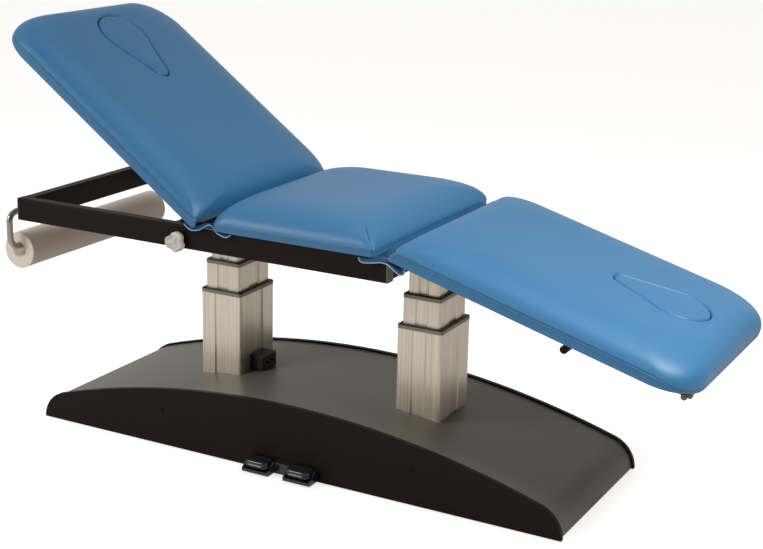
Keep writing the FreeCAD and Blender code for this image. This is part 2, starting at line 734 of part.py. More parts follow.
def make_columns():
    """Two telescopic columns of three stages with their drives."""
    feet, bolts, spindles, nuts, heads = [], [], [], [], []
    for side, sign, toward in (("left", "-", "up"), ("right", "", "down")):
        middle = f"{sign}column_distance"
        make_stage(f"{side}_outer_column", 0, middle, "floor_top", "outer_stage_height", toward)
        make_collar(f"{side}_outer_collar", 0, middle, "outer_top")
        make_stage(f"{side}_mid_column", 1, middle, "mid_bottom", "mid_stage_length")
        make_collar(f"{side}_mid_collar", 1, middle, "mid_top")
        make_stage(f"{side}_inner_column", 2, middle, "inner_bottom", "inner_stage_length")

        half_x, half_y = stage_half(0)
        for y_sign in ("-", ""):
            low = f"-{half_y} - foot_plate_reach" if y_sign else half_y
            feet.append(block(f"{side}_foot_plate", f"{middle} - {half_x}", f"{middle} + {half_x}",
                              low, f"{low} + foot_plate_reach", "floor_top",
                              "floor_top + foot_flange_thickness"))
            for x_sign in ("-", ""):
                x = f"{middle} + {x_sign}({half_x} - foot_bolt_inset)".replace("+ -", "- ")
                y = f"{y_sign}({half_y} + foot_plate_reach - foot_bolt_inset)"
                washer = rod("foot_washer", "foot_washer_radius", (x, y, "floor_top + foot_flange_thickness"),
                             "foot_washer_height", "z")
                head = doc.addObject("Part::Prism", "foot_bolt")
                head.Polygon = 6
                head.setExpression("Circumradius", formula("foot_bolt_radius"))
                head.setExpression("Height", formula("foot_bolt_height"))
                put(head, x, y, "floor_top + foot_flange_thickness + foot_washer_height")
                bolts.append(join("foot_bolt_set", [washer, head]))

        gear = block("gear_block", f"{middle} - gear_block_x / 2", f"{middle} + gear_block_x / 2",
                     "-gear_block_y / 2", "gear_block_y / 2", "floor_top", "floor_top + gear_block_height")
        axis = "floor_top + motor_axis_height"
        reach = "(outer_section_x / 2 + motor_gap)"
        neck_start = middle if side == "left" else f"{middle} - {reach}"
        motor_start = f"{middle} + {reach}" if side == "left" else f"{middle} - {reach} - motor_length"
        neck_rod = rod("motor_neck", "motor_neck_radius", (neck_start, "0", axis), reach, "x")
        motor = rod("motor_case", "motor_radius", (motor_start, "0", axis), "motor_length", "x")
        keep(f"{side}_drive_motor", join(f"{side}_drive_motor", [gear, neck_rod, motor]))

        spindles.append(rod("spindle", "spindle_radius", (middle, "0", "floor_top + gear_block_height"),
                            "spindle_length", "z"))

        tube = new_body(f"{side}_mid_tube")
        foot = new_sketch(tube, "XY_Plane")
        in_x, in_y = (f"({half} - stage_wall)" for half in stage_half(1))
        bore = "spindle_radius + slide_clearance"
        draw_loop(foot, rounded(f"-{in_x}", in_x, f"-{in_y}", in_y, "stage_corner / 2"))
        draw_circle(foot, "0", "0", bore)
        pad(tube, foot, "stage_plate_thickness")
        barrel = new_sketch(tube, "XY_Plane")
        draw_circle(barrel, "0", "0", f"{bore} + mid_tube_wall")
        draw_circle(barrel, "0", "0", bore)
        pad(tube, barrel, "mid_tube_length")
        put(tube, middle, "0", "mid_bottom")
        keep(f"{side}_mid_tube", tube)

        nut = new_body(f"{side}_inner_nut")
        foot = new_sketch(nut, "XY_Plane")
        in_x, in_y = (f"({half} - stage_wall)" for half in stage_half(2))
        bore = f"{bore} + mid_tube_wall + slide_clearance"
        draw_loop(foot, rounded(f"-{in_x}", in_x, f"-{in_y}", in_y, "stage_corner / 2"))
        draw_circle(foot, "0", "0", bore)
        pad(nut, foot, "stage_plate_thickness")
        ring = new_sketch(nut, "XY_Plane")
        draw_circle(ring, "0", "0", "inner_nut_radius")
        draw_circle(ring, "0", "0", bore)
        pad(nut, ring, "stage_plate_thickness + inner_nut_height")
        put(nut, middle, "0", "inner_bottom")
        nuts.append(nut)

        head = new_body(f"{side}_head_block")
        half_x, half_y = (f"({half} + head_block_margin)" for half in stage_half(2))
        casting = pad(head, draw_loop(new_sketch(head, "XY_Plane"),
                                      rounded(f"-{half_x}", half_x, f"-{half_y}", half_y, "stage_corner")),
                      "head_block_height")
        doc.recompute()
        low = edges_where(casting, lambda edge: edge.BoundBox.ZMax < 1e-6)
        dress(head, "Chamfer", casting, low, "head_block_chamfer")
        put(head, middle, "0", "head_bottom")
        heads.append(head)
    keep("column_feet", join("column_feet", feet, "Part::Compound"))
    keep("foot_bolts", join("foot_bolts", bolts, "Part::Compound"))
    keep("lift_spindles", join("lift_spindles", spindles, "Part::Compound"))
    keep("inner_nuts", join("inner_nuts", nuts, "Part::Compound"))
    keep("head_blocks", join("head_blocks", heads, "Part::Compound"))


def make_base_fittings():
    """Control box, mains inlet, charger socket and the pedals' housing."""
    box = new_body("control_box")
    outline = rounded("-control_box_length / 2", "control_box_length / 2",
                      "-control_box_width / 2", "control_box_width / 2", "control_box_fillet")
    case = pad(box, draw_loop(new_sketch(box, "XY_Plane", "floor_top"), outline), "control_box_height")
    doc.recompute()
    high = value("floor_top + control_box_height")
    dress(box, "Chamfer", case, edges_where(case, lambda edge: edge.BoundBox.ZMin > high - 1e-6),
          "control_box_fillet / 2")
    keep("control_box", box)

    inlet = new_body("mains_inlet")
    low_x, high_x = "(-inlet_distance - inlet_width / 2)", "(-inlet_distance + inlet_width / 2)"
    low_z, high_z = "(inlet_height - inlet_tall / 2)", "(inlet_height + inlet_tall / 2)"
    pad(inlet, draw_loop(new_sketch(inlet, "XZ_Plane", "base_width / 2"),
                         rounded(low_x, high_x, low_z, high_z, "inlet_corner")), "inlet_flange")
    inner = rounded(f"{low_x} + inlet_wall + fit_gap", f"{high_x} - inlet_wall - fit_gap",
                    f"{low_z} + inlet_wall + fit_gap", f"{high_z} - inlet_wall - fit_gap", "inlet_corner")
    pad(inlet, draw_loop(new_sketch(inlet, "XZ_Plane", "base_width / 2"), inner), "inlet_depth", "down")
    socket = rounded(f"{low_x} + 2 * inlet_wall", f"{high_x} - 2 * inlet_wall",
                     f"{low_z} + 2 * inlet_wall", f"{high_z} - 2 * inlet_wall", "inlet_corner / 2")
    cut_down(inlet, draw_loop(new_sketch(inlet, "XZ_Plane", "base_width / 2 + inlet_flange"), socket),
             "inlet_socket_depth", "down")
    keep("mains_inlet", inlet)

    charger = new_body("charger_socket")
    face = "(-column_distance + outer_section_x / 2)"
    surface = ("(base_crown_height - base_crown_radius + sqrt((base_crown_radius - cover_drop)^2"
               f" - {face}^2))")
    low_y, high_y = "(charger_side - charger_width / 2)", "(charger_side + charger_width / 2)"
    case = pad(charger, draw_loop(new_sketch(charger, "YZ_Plane", face),
                                  rectangle(low_y, high_y, f"{surface} + charger_lift",
                                            f"{surface} + charger_lift + charger_height")), "charger_depth")
    doc.recompute()
    wall = value(face)
    soft = edges_where(case, lambda edge: edge.BoundBox.XMax > wall + 1e-6)
    case = dress(charger, "Fillet", case, soft, "charger_fillet")
    ports = new_sketch(charger, "YZ_Plane", f"{face} + charger_depth")
    level = f"({surface} + charger_lift + charger_height / 2)"
    for sign in ("-", ""):
        middle = f"(charger_side + {sign}port_pitch / 2)".replace("+ -", "- ")
        draw_loop(ports, rectangle(f"{middle} - port_width / 2", f"{middle} + port_width / 2",
                                   f"{level} - port_tall / 2", f"{level} + port_tall / 2"))
    cut_down(charger, ports, "port_depth", "down")
    keep("charger_socket", charger)


def make_pedals():
    """The foot switch on the near side: a housing with a rod, and two rocking pedals."""
    face = "(-base_width / 2)"
    back = f"({face} - pedal_plate_gap)"
    rod_y = f"({face} - pedal_rod_inset)"
    reach = "(pedal_pitch + pedal_width / 2 + pedal_side_gap)"
    span = f"({reach} + housing_end)"
    inner = "(pedal_pitch - pedal_width / 2 - pedal_side_gap)"
    house = new_body("pedal_housing")
    side = new_sketch(house, "YZ_Plane", "pedal_shift")
    draw_loop(side, [(f"{face} - pedal_reach", "housing_floor_gap"), (face, "housing_floor_gap"),
                     (face, "housing_wall_height"), (f"{rod_y} - pedal_rod_inset", "housing_wall_height"),
                     (f"{face} - pedal_reach", "housing_floor_gap + housing_height")])
    pad(house, side, f"2 * {span}", "both")
    floor = "(housing_floor_gap + housing_height - pedal_side_gap)"
    for start, way in ((f"pedal_shift + {inner}", "up"), (f"pedal_shift - {inner}", "down")):
        bays = new_sketch(house, "YZ_Plane", start)
        draw_loop(bays, rectangle(f"{face} - pedal_reach - cut_overrun", face, floor,
                                  "housing_wall_height + cut_overrun"))
        cut_down(house, bays, f"{reach} - {inner}", way)
    notch = new_sketch(house, "XY_Plane")
    draw_loop(notch, rectangle(f"pedal_shift - {inner} + housing_end", f"pedal_shift + {inner} - housing_end",
                               f"{face} - pedal_reach - cut_overrun", f"{face} - housing_middle_reach"))
    cut_through(house, notch)
    shaft = rod("pedal_rod", "pedal_rod_radius", (f"pedal_shift - {span}", rod_y, "pedal_rod_height"),
                f"2 * {span}", "x")
    keep("pedal_housing", join("pedal_housing", [house, shaft]))

    for label, sign in (("down_pedal", "-"), ("up_pedal", "")):
        pedal = new_body(label)
        middle = f"pedal_shift {sign or '+'} pedal_pitch"
        shape = new_sketch(pedal, "YZ_Plane", middle)
        front = f"({face} - pedal_reach)"
        draw_loop(shape, [(front, "pedal_front_height"), (back, "pedal_back_height"),
                          (back, "pedal_top_height - pedal_front_fall"),
                          (f"{back} - pedal_crown_inset", "pedal_top_height"),
                          (f"{front} + pedal_crown_inset / 2", "pedal_top_height"),
                          (front, "pedal_top_height - pedal_front_fall")])
        case = pad(pedal, shape, "pedal_width", "both")
        doc.recompute()
        waist = value("(pedal_front_height + pedal_top_height) / 2")
        soft = edges_where(case, lambda edge: edge.BoundBox.ZMax > waist)
        case = dress(pedal, "Fillet", case, soft, "pedal_fillet")
        bore = new_sketch(pedal, "YZ_Plane", middle)
        draw_circle(bore, rod_y, "pedal_rod_height", "pedal_rod_radius + pin_clearance")
        cut_through(pedal, bore)
        keep(label, pedal)


def tube_section(sketch, x0, x1, y0, y1):
    """Section of a welded rectangular tube."""
    draw_loop(sketch, rounded(x0, x1, y0, y1, "beam_corner"))
    draw_loop(sketch, rounded(f"{x0} + beam_wall", f"{x1} - beam_wall", f"{y0} + beam_wall",
                              f"{y1} - beam_wall", "beam_corner / 2"))
    return sketch


def make_frame():
    """The lifted frame of rectangular tube with its cross members and end caps."""
    start = "-frame_head_end + end_cap_thickness"
    length = "frame_head_end + frame_foot_end - 2 * end_cap_thickness"
    for label, low, high in (("near_beam", "-frame_width / 2", "-beam_inner"),
                             ("far_beam", "beam_inner", "frame_width / 2")):
        beam = new_body(label)
        section = new_sketch(beam, "YZ_Plane", start)
        pad(beam, tube_section(section, low, high, "frame_bottom", "frame_top"), length)
        if label == "near_beam":
            hole = new_sketch(beam, "XZ_Plane")
            cut_through(beam, draw_circle(hole, "-lock_x", "lock_z", "lock_bolt_radius + lock_hole_gap"))
        keep(label, beam)

    members = {
        "head_beam": ("-frame_head_end", "-frame_head_end + beam_width", "frame_bottom", "frame_top"),
        "left_cross_member": ("-column_distance - left_cross_inset - cross_width / 2",
                              "-column_distance - left_cross_inset + cross_width / 2",
                              "frame_bottom", "frame_bottom + cross_height"),
        "right_cross_member": ("column_distance - right_cross_inset - cross_width / 2",
                               "column_distance - right_cross_inset + cross_width / 2",
                               "frame_bottom", "frame_bottom + cross_height"),
    }
    for label, (x0, x1, z0, z1) in members.items():
        member = new_body(label)
        pad(member, tube_section(new_sketch(member, "XZ_Plane"), x0, x1, z0, z1), "2 * beam_inner", "both")
        keep(label, member)

    caps = []
    for x in ("-frame_head_end", "frame_foot_end - end_cap_thickness"):
        for low, high in (("-frame_width / 2", "-beam_inner"), ("beam_inner", "frame_width / 2")):
            cap = new_body("end_cap")
            pad(cap, draw_loop(new_sketch(cap, "YZ_Plane", x),
                               rounded(low, high, "frame_bottom", "frame_top", "beam_corner")),
                "end_cap_thickness")
            caps.append(cap)
    keep("beam_end_caps", join("beam_end_caps", caps, "Part::Compound"))


def make_hinge_ears():
    """Plates on the side beams' inner faces, each with the pin that a section turns on."""
    ears = []
    places = (("-back_hinge_x", "back_hinge_z", "back_boss_radius", "ear_width", "ear_depth"),
              ("leg_hinge_x", "leg_hinge_z", "leg_boss_radius", "leg_ear_width", "leg_ear_depth"))
    for x, z, boss, width, depth in places:
        for side in ("near", "far"):
            ear = new_body(f"{side}_ear")
            at = "-beam_inner" if side == "near" else "ear_inner"
            plate = [(f"{x} - {width} / 2", f"{z} - {depth}"), (f"{x} + {width} / 2", f"{z} - {depth}"),
                     (f"{x} + {boss}", z, boss, "left"), (x, f"{z} + {boss}", boss, "left"),
                     (f"{x} - {boss}", z)]
            pad(ear, draw_loop(new_sketch(ear, "XZ_Plane", at), plate), "ear_thickness")
            tail = "(ear_thickness + arm_gap + arm_thickness + pin_tail)"
            pin_y = "-beam_inner" if side == "near" else f"beam_inner - {tail}"
            pin = rod("hinge_pin", "hinge_pin_radius", (x, pin_y, z), tail, "y")
            ears.append(join("ear_with_pin", [ear, pin]))
    keep("hinge_ears", join("hinge_ears", ears, "Part::Compound"))


def make_lock():
    """The clamp bolt through the near beam and the star knob on it."""
    inside = "(-arm_inner + fit_gap)"
    tip = "(-frame_width / 2 - fit_gap - knob_boss_height - knob_height + knob_cap_wall)"
    shank = rod("lock_shank", "lock_bolt_radius", ("-lock_x", tip, "lock_z"), f"{inside} - {tip}", "y")
    head = rod("lock_head", "lock_head_radius", ("-lock_x", inside, "lock_z"), "lock_head_height", "y")
    keep("lock_bolt", join("lock_bolt", [shank, head]))

    knob = new_body("star_knob")
    face = "(-frame_width / 2 - fit_gap)"
    boss = draw_circle(new_sketch(knob, "XZ_Plane", face), "0", "0", "knob_boss_radius")
    pad(knob, boss, "knob_boss_height", "down")
    hub = draw_circle(new_sketch(knob, "XZ_Plane", f"{face} - knob_boss_height"), "0", "0", "knob_hub_radius")
    pad(knob, hub, "knob_height", "down")
    lobe = draw_circle(new_sketch(knob, "XZ_Plane", f"{face} - knob_boss_height"),
                       "0", "knob_lobe_distance", "knob_lobe_radius")
    lobe = pad(knob, lobe, "knob_height", "down")
    ring = knob.newObject("PartDesign::PolarPattern", "knob_lobes")
    ring.Originals = [lobe]
    ring.Axis = (next(item for item in knob.Origin.OriginFeatures if item.Role == "Y_Axis"), [""])
    ring.Angle = 360
    ring.Occurrences = 3
    knob.Tip = ring
    doc.recompute()
    outer = value(f"{face} - knob_boss_height - knob_height")
    rim = edges_where(ring, lambda edge: edge.BoundBox.YMax < outer + 1e-3)
    dress(knob, "Fillet", ring, rim, "knob_fillet")
    bore = draw_circle(new_sketch(knob, "XZ_Plane", face), "0", "0", "lock_bolt_radius + pin_clearance")
    cut_down(knob, bore, "knob_boss_height + knob_height - knob_cap_wall + fit_gap", "down")
    put(knob, "-lock_x", "0", "lock_z")
    keep("star_knob", knob)


# Levels of a pad from its underside: height as a share of its thickness, then the shares of
# the side's fall, of the end's fall and of the corners' growth that its outline is drawn in by.
PAD_LEVEL_SHARES = (
    (0.000, 0.015, 0.031, 0.000), (0.050, 0.008, 0.018, 0.000), (0.134, 0.000, 0.000, 0.000),
    (0.238, 0.003, 0.008, 0.012), (0.394, 0.021, 0.043, 0.090), (0.567, 0.073, 0.117, 0.240),
    (0.723, 0.162, 0.228, 0.460), (0.827, 0.262, 0.341, 0.690), (0.896, 0.365, 0.451, 0.900),
    (0.948, 0.489, 0.575, 0.960), (0.978, 0.615, 0.695, 0.985), (0.994, 0.747, 0.812, 0.995),
    (1.000, 1.000, 1.000, 1.000),
)


def make_pad_form(name, x0, x1, low_corner, high_corner, bottom):
    """The upholstered outline as a loft through rounded rectangles, crowned on top."""
    form = new_body(name)
    levels = []
    for height, side, end, growth in PAD_LEVEL_SHARES:
        half = f"(pad_width / 2 - pad_side_fall * {side})"
        start, finish = f"{x0} + pad_end_fall * {end}", f"{x1} - pad_end_fall * {end}"
        low, high = [f"({corner} * (1 - {growth}) + pad_top_corner * {growth})"
                     for corner in (low_corner, high_corner)]
        sketch = new_sketch(form, "XY_Plane", f"{bottom} + pad_thickness * {height}")
        draw_loop(sketch, rounded(start, finish, f"-{half}", half, (low, high, high, low)))
        levels.append(sketch)
    loft = form.newObject("PartDesign::AdditiveLoft", name + "_loft")
    loft.Profile = levels[0]
    loft.Sections = levels[1:]
    loft.Ruled = True
    return form


def make_board_form(name, x0, x1, low_corner, high_corner, bottom):
    board = new_body(name)
    inset = "board_inset"
    low, high = f"({low_corner} - {inset} / 2)", f"({high_corner} - {inset} / 2)"
    outline = rounded(f"{x0} + {inset}", f"{x1} - {inset}", f"-pad_width / 2 + {inset}",
                      f"pad_width / 2 - {inset}", (low, high, high, low))
    pad(board, draw_loop(new_sketch(board, "XY_Plane", bottom), outline), "board_thickness")
    return board


def plug_prism(name, wide_end, sign, shrink, bottom, height):
    """The drop-shaped face hole, wide towards the section's free end."""
    wide, narrow = f"(plug_wide_radius - ({shrink}))", f"(plug_narrow_radius - ({shrink}))"
    drop = new_body(name)
    wide_x = f"({wide_end} - ({sign}plug_wide_radius))"
    narrow_x = f"({wide_end} - ({sign}(plug_length - plug_narrow_radius)))"
    sketch = new_sketch(drop, "XY_Plane", bottom)
    if sign == "-":
        draw_loop(sketch, strap(wide_x, wide, narrow_x, narrow, "0"))
    else:
        draw_loop(sketch, strap(narrow_x, narrow, wide_x, wide, "0"))
    pad(drop, sketch, height)
    return drop


def make_section(name, hinge, x0, x1, low_corner, high_corner, bottom, wide_end, sign):
    """Board, cushion and face-hole plug of a tilting section."""
    def place(body):
        return tilt(body, hinge)
    form = place(make_pad_form(f"{name}_form", x0, x1, low_corner, high_corner, bottom))
    board = place(make_board_form(f"{name}_board_form", x0, x1, low_corner, high_corner, bottom))
    ledge_hole = place(plug_prism(f"{name}_ledge_hole", wide_end, sign, "plug_ledge",
                                  f"{bottom} - cut_overrun", "board_thickness + 2 * cut_overrun"))
    face_hole = place(plug_prism(f"{name}_face_hole", wide_end, sign, "0",
                                 f"{bottom} - cut_overrun", "pad_thickness + 2 * cut_overrun"))
    plug_shape = place(plug_prism(f"{name}_plug_shape", wide_end, sign, "plug_gap",
                                  f"{bottom} + board_thickness + plug_seat_gap", "pad_thickness"))
    keep(f"{name}_board", minus(f"{name}_board", board, ledge_hole))
    tools = join(f"{name}_recess", [board, face_hole])
    keep(f"{name}_cushion", minus(f"{name}_cushion", form, tools))
    plug = doc.addObject("Part::Common", f"{name}_plug")
    plug.Base = form
    plug.Tool = plug_shape
    keep(f"{name}_plug", plug)


def make_pads():
    """Seat, backrest and leg section."""
    seat = ("-seat_head_end", "seat_foot_end", "pad_hinge_corner", "pad_hinge_corner", "frame_top")
    form = make_pad_form("seat_form", *seat)
    board = make_board_form("seat_board", *seat)
    keep("seat_board", board)
    keep("seat_cushion", minus("seat_cushion", form, board))
    make_section("backrest", "back", "-backrest_end", "-backrest_start", "pad_free_corner",
                 "pad_hinge_corner", "back_under", "-(backrest_end - plug_head_margin)", "-")
    make_section("leg", "leg", "leg_start", "leg_end", "pad_hinge_corner", "pad_free_corner",
                 "leg_under", "(leg_end - leg_plug_head_margin)", "")


# Lower edge of a strip's hanging end: share of its length and share of its drop.
SKIRT_EDGE_SHARES = ((0.08, 0.70), (0.30, 0.62), (0.50, 0.40), (0.62, 0.45), (0.80, 1.00), (0.95, 0.75))


def hang_ends(strip, start, length, gap_start, gap_end, side):
    """Fold the strip's two ends down outside the side beams, below the pads' undersides."""
    under, over = "(frame_top - fit_gap)", "(frame_top + fit_gap + strip_thickness)"
    for at in (f"-{side}", f"{side} - strip_thickness"):
        edge = [(f"{start} + {length} * {along}", f"{under} - skirt_drop * {down}")
                for along, down in SKIRT_EDGE_SHARES]
        outline = [(start, under)] + edge
        if gap_end == f"({start} + {length})":
            outline += [(gap_end, f"{under} - skirt_drop / 2"), (gap_end, over)]
        else:
            outline += [(f"{start} + {length}", under), (gap_end, under), (gap_end, over)]
        outline += [(gap_start, over), (gap_start, under)]
        pad(strip, draw_loop(new_sketch(strip, "XZ_Plane", at), outline), "strip_thickness")


def make_gap_strips():
    """The vinyl strips that close the gaps over the hinges, with their ends hanging outside."""
    side = "(pad_width / 2 + strip_overhang)"
    back = new_body("back_gap_strip")
    high = "(-seat_head_end - fit_gap)"
    low = f"({high} - back_strip_width)"
    pad(back, draw_loop(new_sketch(back, "XY_Plane", "frame_top + fit_gap"),
                        rectangle(low, high, f"-{side}", side)), "strip_thickness")
    hang_ends(back, "-back_skirt_start", "back_skirt_length", low, high, side)
    keep("back_gap_strip", back)
    leg = new_body("leg_gap_strip")
    sketch = new_sketch(leg, "XY_Plane", "frame_top + fit_gap")
    slot_start = "(leg_hinge_x - leg_boss_radius - arm_gap)"
    outer, inner = "(beam_inner + arm_gap / 2)", "(arm_inner - strip_slot_margin)"
    draw_loop(sketch, [
        ("leg_strip_start", f"-{side}"), ("frame_foot_end", f"-{side}"),
        ("frame_foot_end", f"-{outer}"), (slot_start, f"-{outer}"),
        (slot_start, f"-{inner}"), ("frame_foot_end", f"-{inner}"),
        ("frame_foot_end", inner), (slot_start, inner),
        (slot_start, outer), ("frame_foot_end", outer),
        ("frame_foot_end", side), ("leg_strip_start", side)])
    pad(leg, sketch, "strip_thickness")
    start = "frame_foot_end - leg_skirt_length"
    hang_ends(leg, start, "leg_skirt_length", "leg_strip_start", f"({start} + leg_skirt_length)", side)
    keep("leg_gap_strip", leg)


def arm_body(name, outline, side):
    """A flat arm beside the hinge ear, bored for the pin."""
    arm = new_body(name)
    at = "-arm_outer" if side == "near" else "arm_inner"
    pad(arm, draw_loop(new_sketch(arm, "XZ_Plane", at), outline), "arm_thickness")
    return arm


def bore_arm(arm, x, z, radius):
    cut_through(arm, draw_circle(new_sketch(arm, "XZ_Plane"), x, z, f"{radius} + pin_clearance"))


def make_backrest_frame():
    """Two hinged arms, the near one with the lock's slotted quadrant, and a cross tube."""
    boss = "back_boss_radius"
    outline = [("-back_arm_length", "-back_arm_end_drop"), ("0", f"-{boss}", boss, "left"),
               (boss, "0", boss, "left"), ("0", boss), ("-back_arm_length", boss)]
    near = arm_body("near_back_arm", outline, "near")
    far = arm_body("far_back_arm", outline, "far")
    # Angles about the hinge, in the flat backrest's own frame.
    bolt_angle = "atan2(lock_z - back_hinge_z; back_hinge_x - lock_x)"
    spare = "lock_spare_travel"
    first, last = f"({bolt_angle} - {spare} * 1 deg)", f"({bolt_angle} + (lock_travel + {spare}) * 1 deg)"
    half = "(lock_bolt_radius + lock_slot_gap)"
    rim = f"(lock_arm + {half} + quadrant_rim)"
    slack = f"(asin(({half} + quadrant_rim) / lock_arm))"
    middle = f"(({first} + {last}) / 2)"

    def polar(radius, angle):
        return f"{radius} * cos({angle})", f"{radius} * sin({angle})"

    start, end = f"({first} - {slack})", f"({last} + {slack})"
    sector = [("0", "0"), polar(rim, start) + (rim, "left"),
              polar(rim, middle) + (rim, "left"), polar(rim, end)]
    pad(near, draw_loop(new_sketch(near, "XZ_Plane", "-arm_outer"), sector), "arm_thickness")
    outer, inner = f"(lock_arm + {half})", f"(lock_arm - {half})"
    tip = f"(asin({half} / lock_arm))"
    slot = [polar(outer, first) + (outer, "left"), polar(outer, middle) + (outer, "left"),
            polar(outer, last) + (half, "left"), polar("lock_arm", f"({last} + {tip})") + (half, "left"),
            polar(inner, last) + (inner, "right"), polar(inner, middle) + (inner, "right"),
            polar(inner, first) + (half, "left"), polar("lock_arm", f"({first} - {tip})") + (half, "left")]
    cut_through(near, draw_loop(new_sketch(near, "XZ_Plane"), slot))
    for arm in (near, far):
        bore_arm(arm, "0", "0", "hinge_pin_radius")
    tube = new_body("back_cross_tube")
    ring = new_sketch(tube, "XZ_Plane")
    level = "(back_boss_radius - back_tube_radius - arm_gap)"
    draw_circle(ring, "-back_arm_length + back_tube_inset", level, "back_tube_radius")
    draw_circle(ring, "-back_arm_length + back_tube_inset", level, "back_tube_radius - beam_wall")
    pad(tube, ring, "2 * arm_inner", "both")
    pieces = [tilt(body, "back") for body in (near, far, tube)]
    keep("backrest_frame", join("backrest_frame", pieces))


def make_leg_frame():
    """Two hinged arms, their cross tube, the spring's lug and the release bar's pivots."""
    boss, under = "leg_boss_radius", "(leg_under - fit_gap)"
    outline = [("0", f"-{boss}"), ("leg_arm_knee", "-leg_arm_knee_drop"), ("leg_arm_heel", "-leg_arm_drop"),
               ("leg_arm_length - leg_arm_chamfer", "-leg_arm_drop"),
               ("leg_arm_length", "-leg_arm_drop + leg_arm_chamfer"), ("leg_arm_length", under),
               ("leg_start", under), ("leg_start - arm_gap", "0"),
               ("0", boss, boss, "left"), (f"-{boss}", "0", boss, "left")]
    pieces = []
    for side in ("near", "far"):
        arm = arm_body(f"{side}_leg_arm", outline, side)
        bore_arm(arm, "0", "0", "hinge_pin_radius")
        pieces.append(arm)
    tube = new_body("leg_cross_tube")
    ring = new_sketch(tube, "XZ_Plane")
    level = "(leg_under - fit_gap - leg_tube_radius - arm_gap)"
    draw_circle(ring, "leg_tube_x", level, "leg_tube_radius")
    draw_circle(ring, "leg_tube_x", level, "leg_tube_radius - beam_wall")
    pad(tube, ring, "2 * arm_inner", "both")
    pieces.append(tube)
    cheek_inner = "(spring_eye_width / 2 + spring_eye_gap)"
    lug_drop, deep = "spring_lug_drop", "(leg_tube_radius - beam_wall / 2)"
    for name, at in (("near_lug", f"spring_y - {cheek_inner} - spring_lug_plate"),
                     ("far_lug", f"spring_y + {cheek_inner}")):
        lug = new_body(name)
        shape = [("spring_lug_x - spring_lug_radius", f"-{lug_drop}", "spring_lug_radius", "left"),
                 ("spring_lug_x", f"-{lug_drop} - spring_lug_radius", "spring_lug_radius", "left"),
                 ("spring_lug_x + spring_lug_radius", f"-{lug_drop}"),
                 (f"leg_tube_x + {deep}", level), (f"leg_tube_x - {deep}", level)]
        pad(lug, draw_loop(new_sketch(lug, "XZ_Plane", at), shape), "spring_lug_plate")
        pieces.append(lug)
    pin_body = new_body("lug_pin")
    ring = new_sketch(pin_body, "XZ_Plane", f"spring_y - {cheek_inner} - spring_lug_plate")
    pad(pin_body, draw_circle(ring, "spring_lug_x", f"-{lug_drop}", "spring_pin_radius"),
        f"2 * ({cheek_inner} + spring_lug_plate)")
    pieces.append(pin_body)
    for name, at in (("near_pivot", "-arm_inner"),
                     ("far_pivot", "arm_inner - release_lever_thickness - pin_tail")):
        pivot = new_body(name)
        pad(pivot, draw_circle(new_sketch(pivot, "XZ_Plane", at), "release_pivot_x", "-release_drop",
                               "release_pin_radius"), "release_lever_thickness + pin_tail")
        pieces.append(pivot)
    keep("leg_frame", join("leg_frame", [tilt(piece, "leg") for piece in pieces]))


def make_leg_bars():
    """The black release bar across the leg section and the bowed grab handle near its end."""
    bar = new_body("release_rod")
    ring = draw_circle(new_sketch(bar, "XZ_Plane"), "release_x", "-release_drop", "release_radius")
    pad(bar, ring, "2 * (pad_width / 2 - release_overhang)", "both")
    pieces = [bar]
    gap = "(arm_inner - fit_gap)"
    for name, at in (("near_lever", f"-{gap}"), ("far_lever", f"{gap} - release_lever_thickness")):
        lever = new_body(name)
        strip = strap("release_pivot_x", "release_lever_radius", "release_x",
                      "release_lever_radius + fit_gap", "-release_drop")
        pad(lever, draw_loop(new_sketch(lever, "XZ_Plane", at), strip), "release_lever_thickness")
        cut_through(lever, draw_circle(new_sketch(lever, "XZ_Plane"), "release_pivot_x", "-release_drop",
                                       "release_pin_radius + pin_clearance"))
        pieces.append(lever)
    keep("leg_release_bar", join("leg_release_bar", [tilt(piece, "leg") for piece in pieces]))

    level = "leg_under - handle_gap - handle_radius"
    stations = [("handle_x", "-handle_half_length"), ("handle_x", "-handle_bow_start"),
                ("handle_x + handle_bow", "-handle_bow_end"), ("handle_x + handle_bow", "handle_bow_end"),
                ("handle_x", "handle_bow_start"), ("handle_x", "handle_half_length")]
    corners = [value("handle_bend")] * (len(stations) - 2)
    shape = bent_rod([vector(x, y, level) for x, y in stations], value("handle_radius"), corners)
    for sign in (-1, 1):
        middle = sign * value("handle_clamp_y")
        half = value("handle_clamp_width") / 2
        long = value("handle_clamp_length")
        low = value(level) - value("handle_radius")
        tall = value("leg_under") - low
        corner = FreeCAD.Vector(value("handle_x") - long / 2, middle - half, low)
        shape = shape.fuse(Part.makeBox(long, 2 * half, tall, corner))
    handle = doc.addObject("Part::Feature", "foot_handle")
    handle.Shape = shape.removeSplitter()
    tilt(handle, "leg")
    keep("foot_handle", handle)


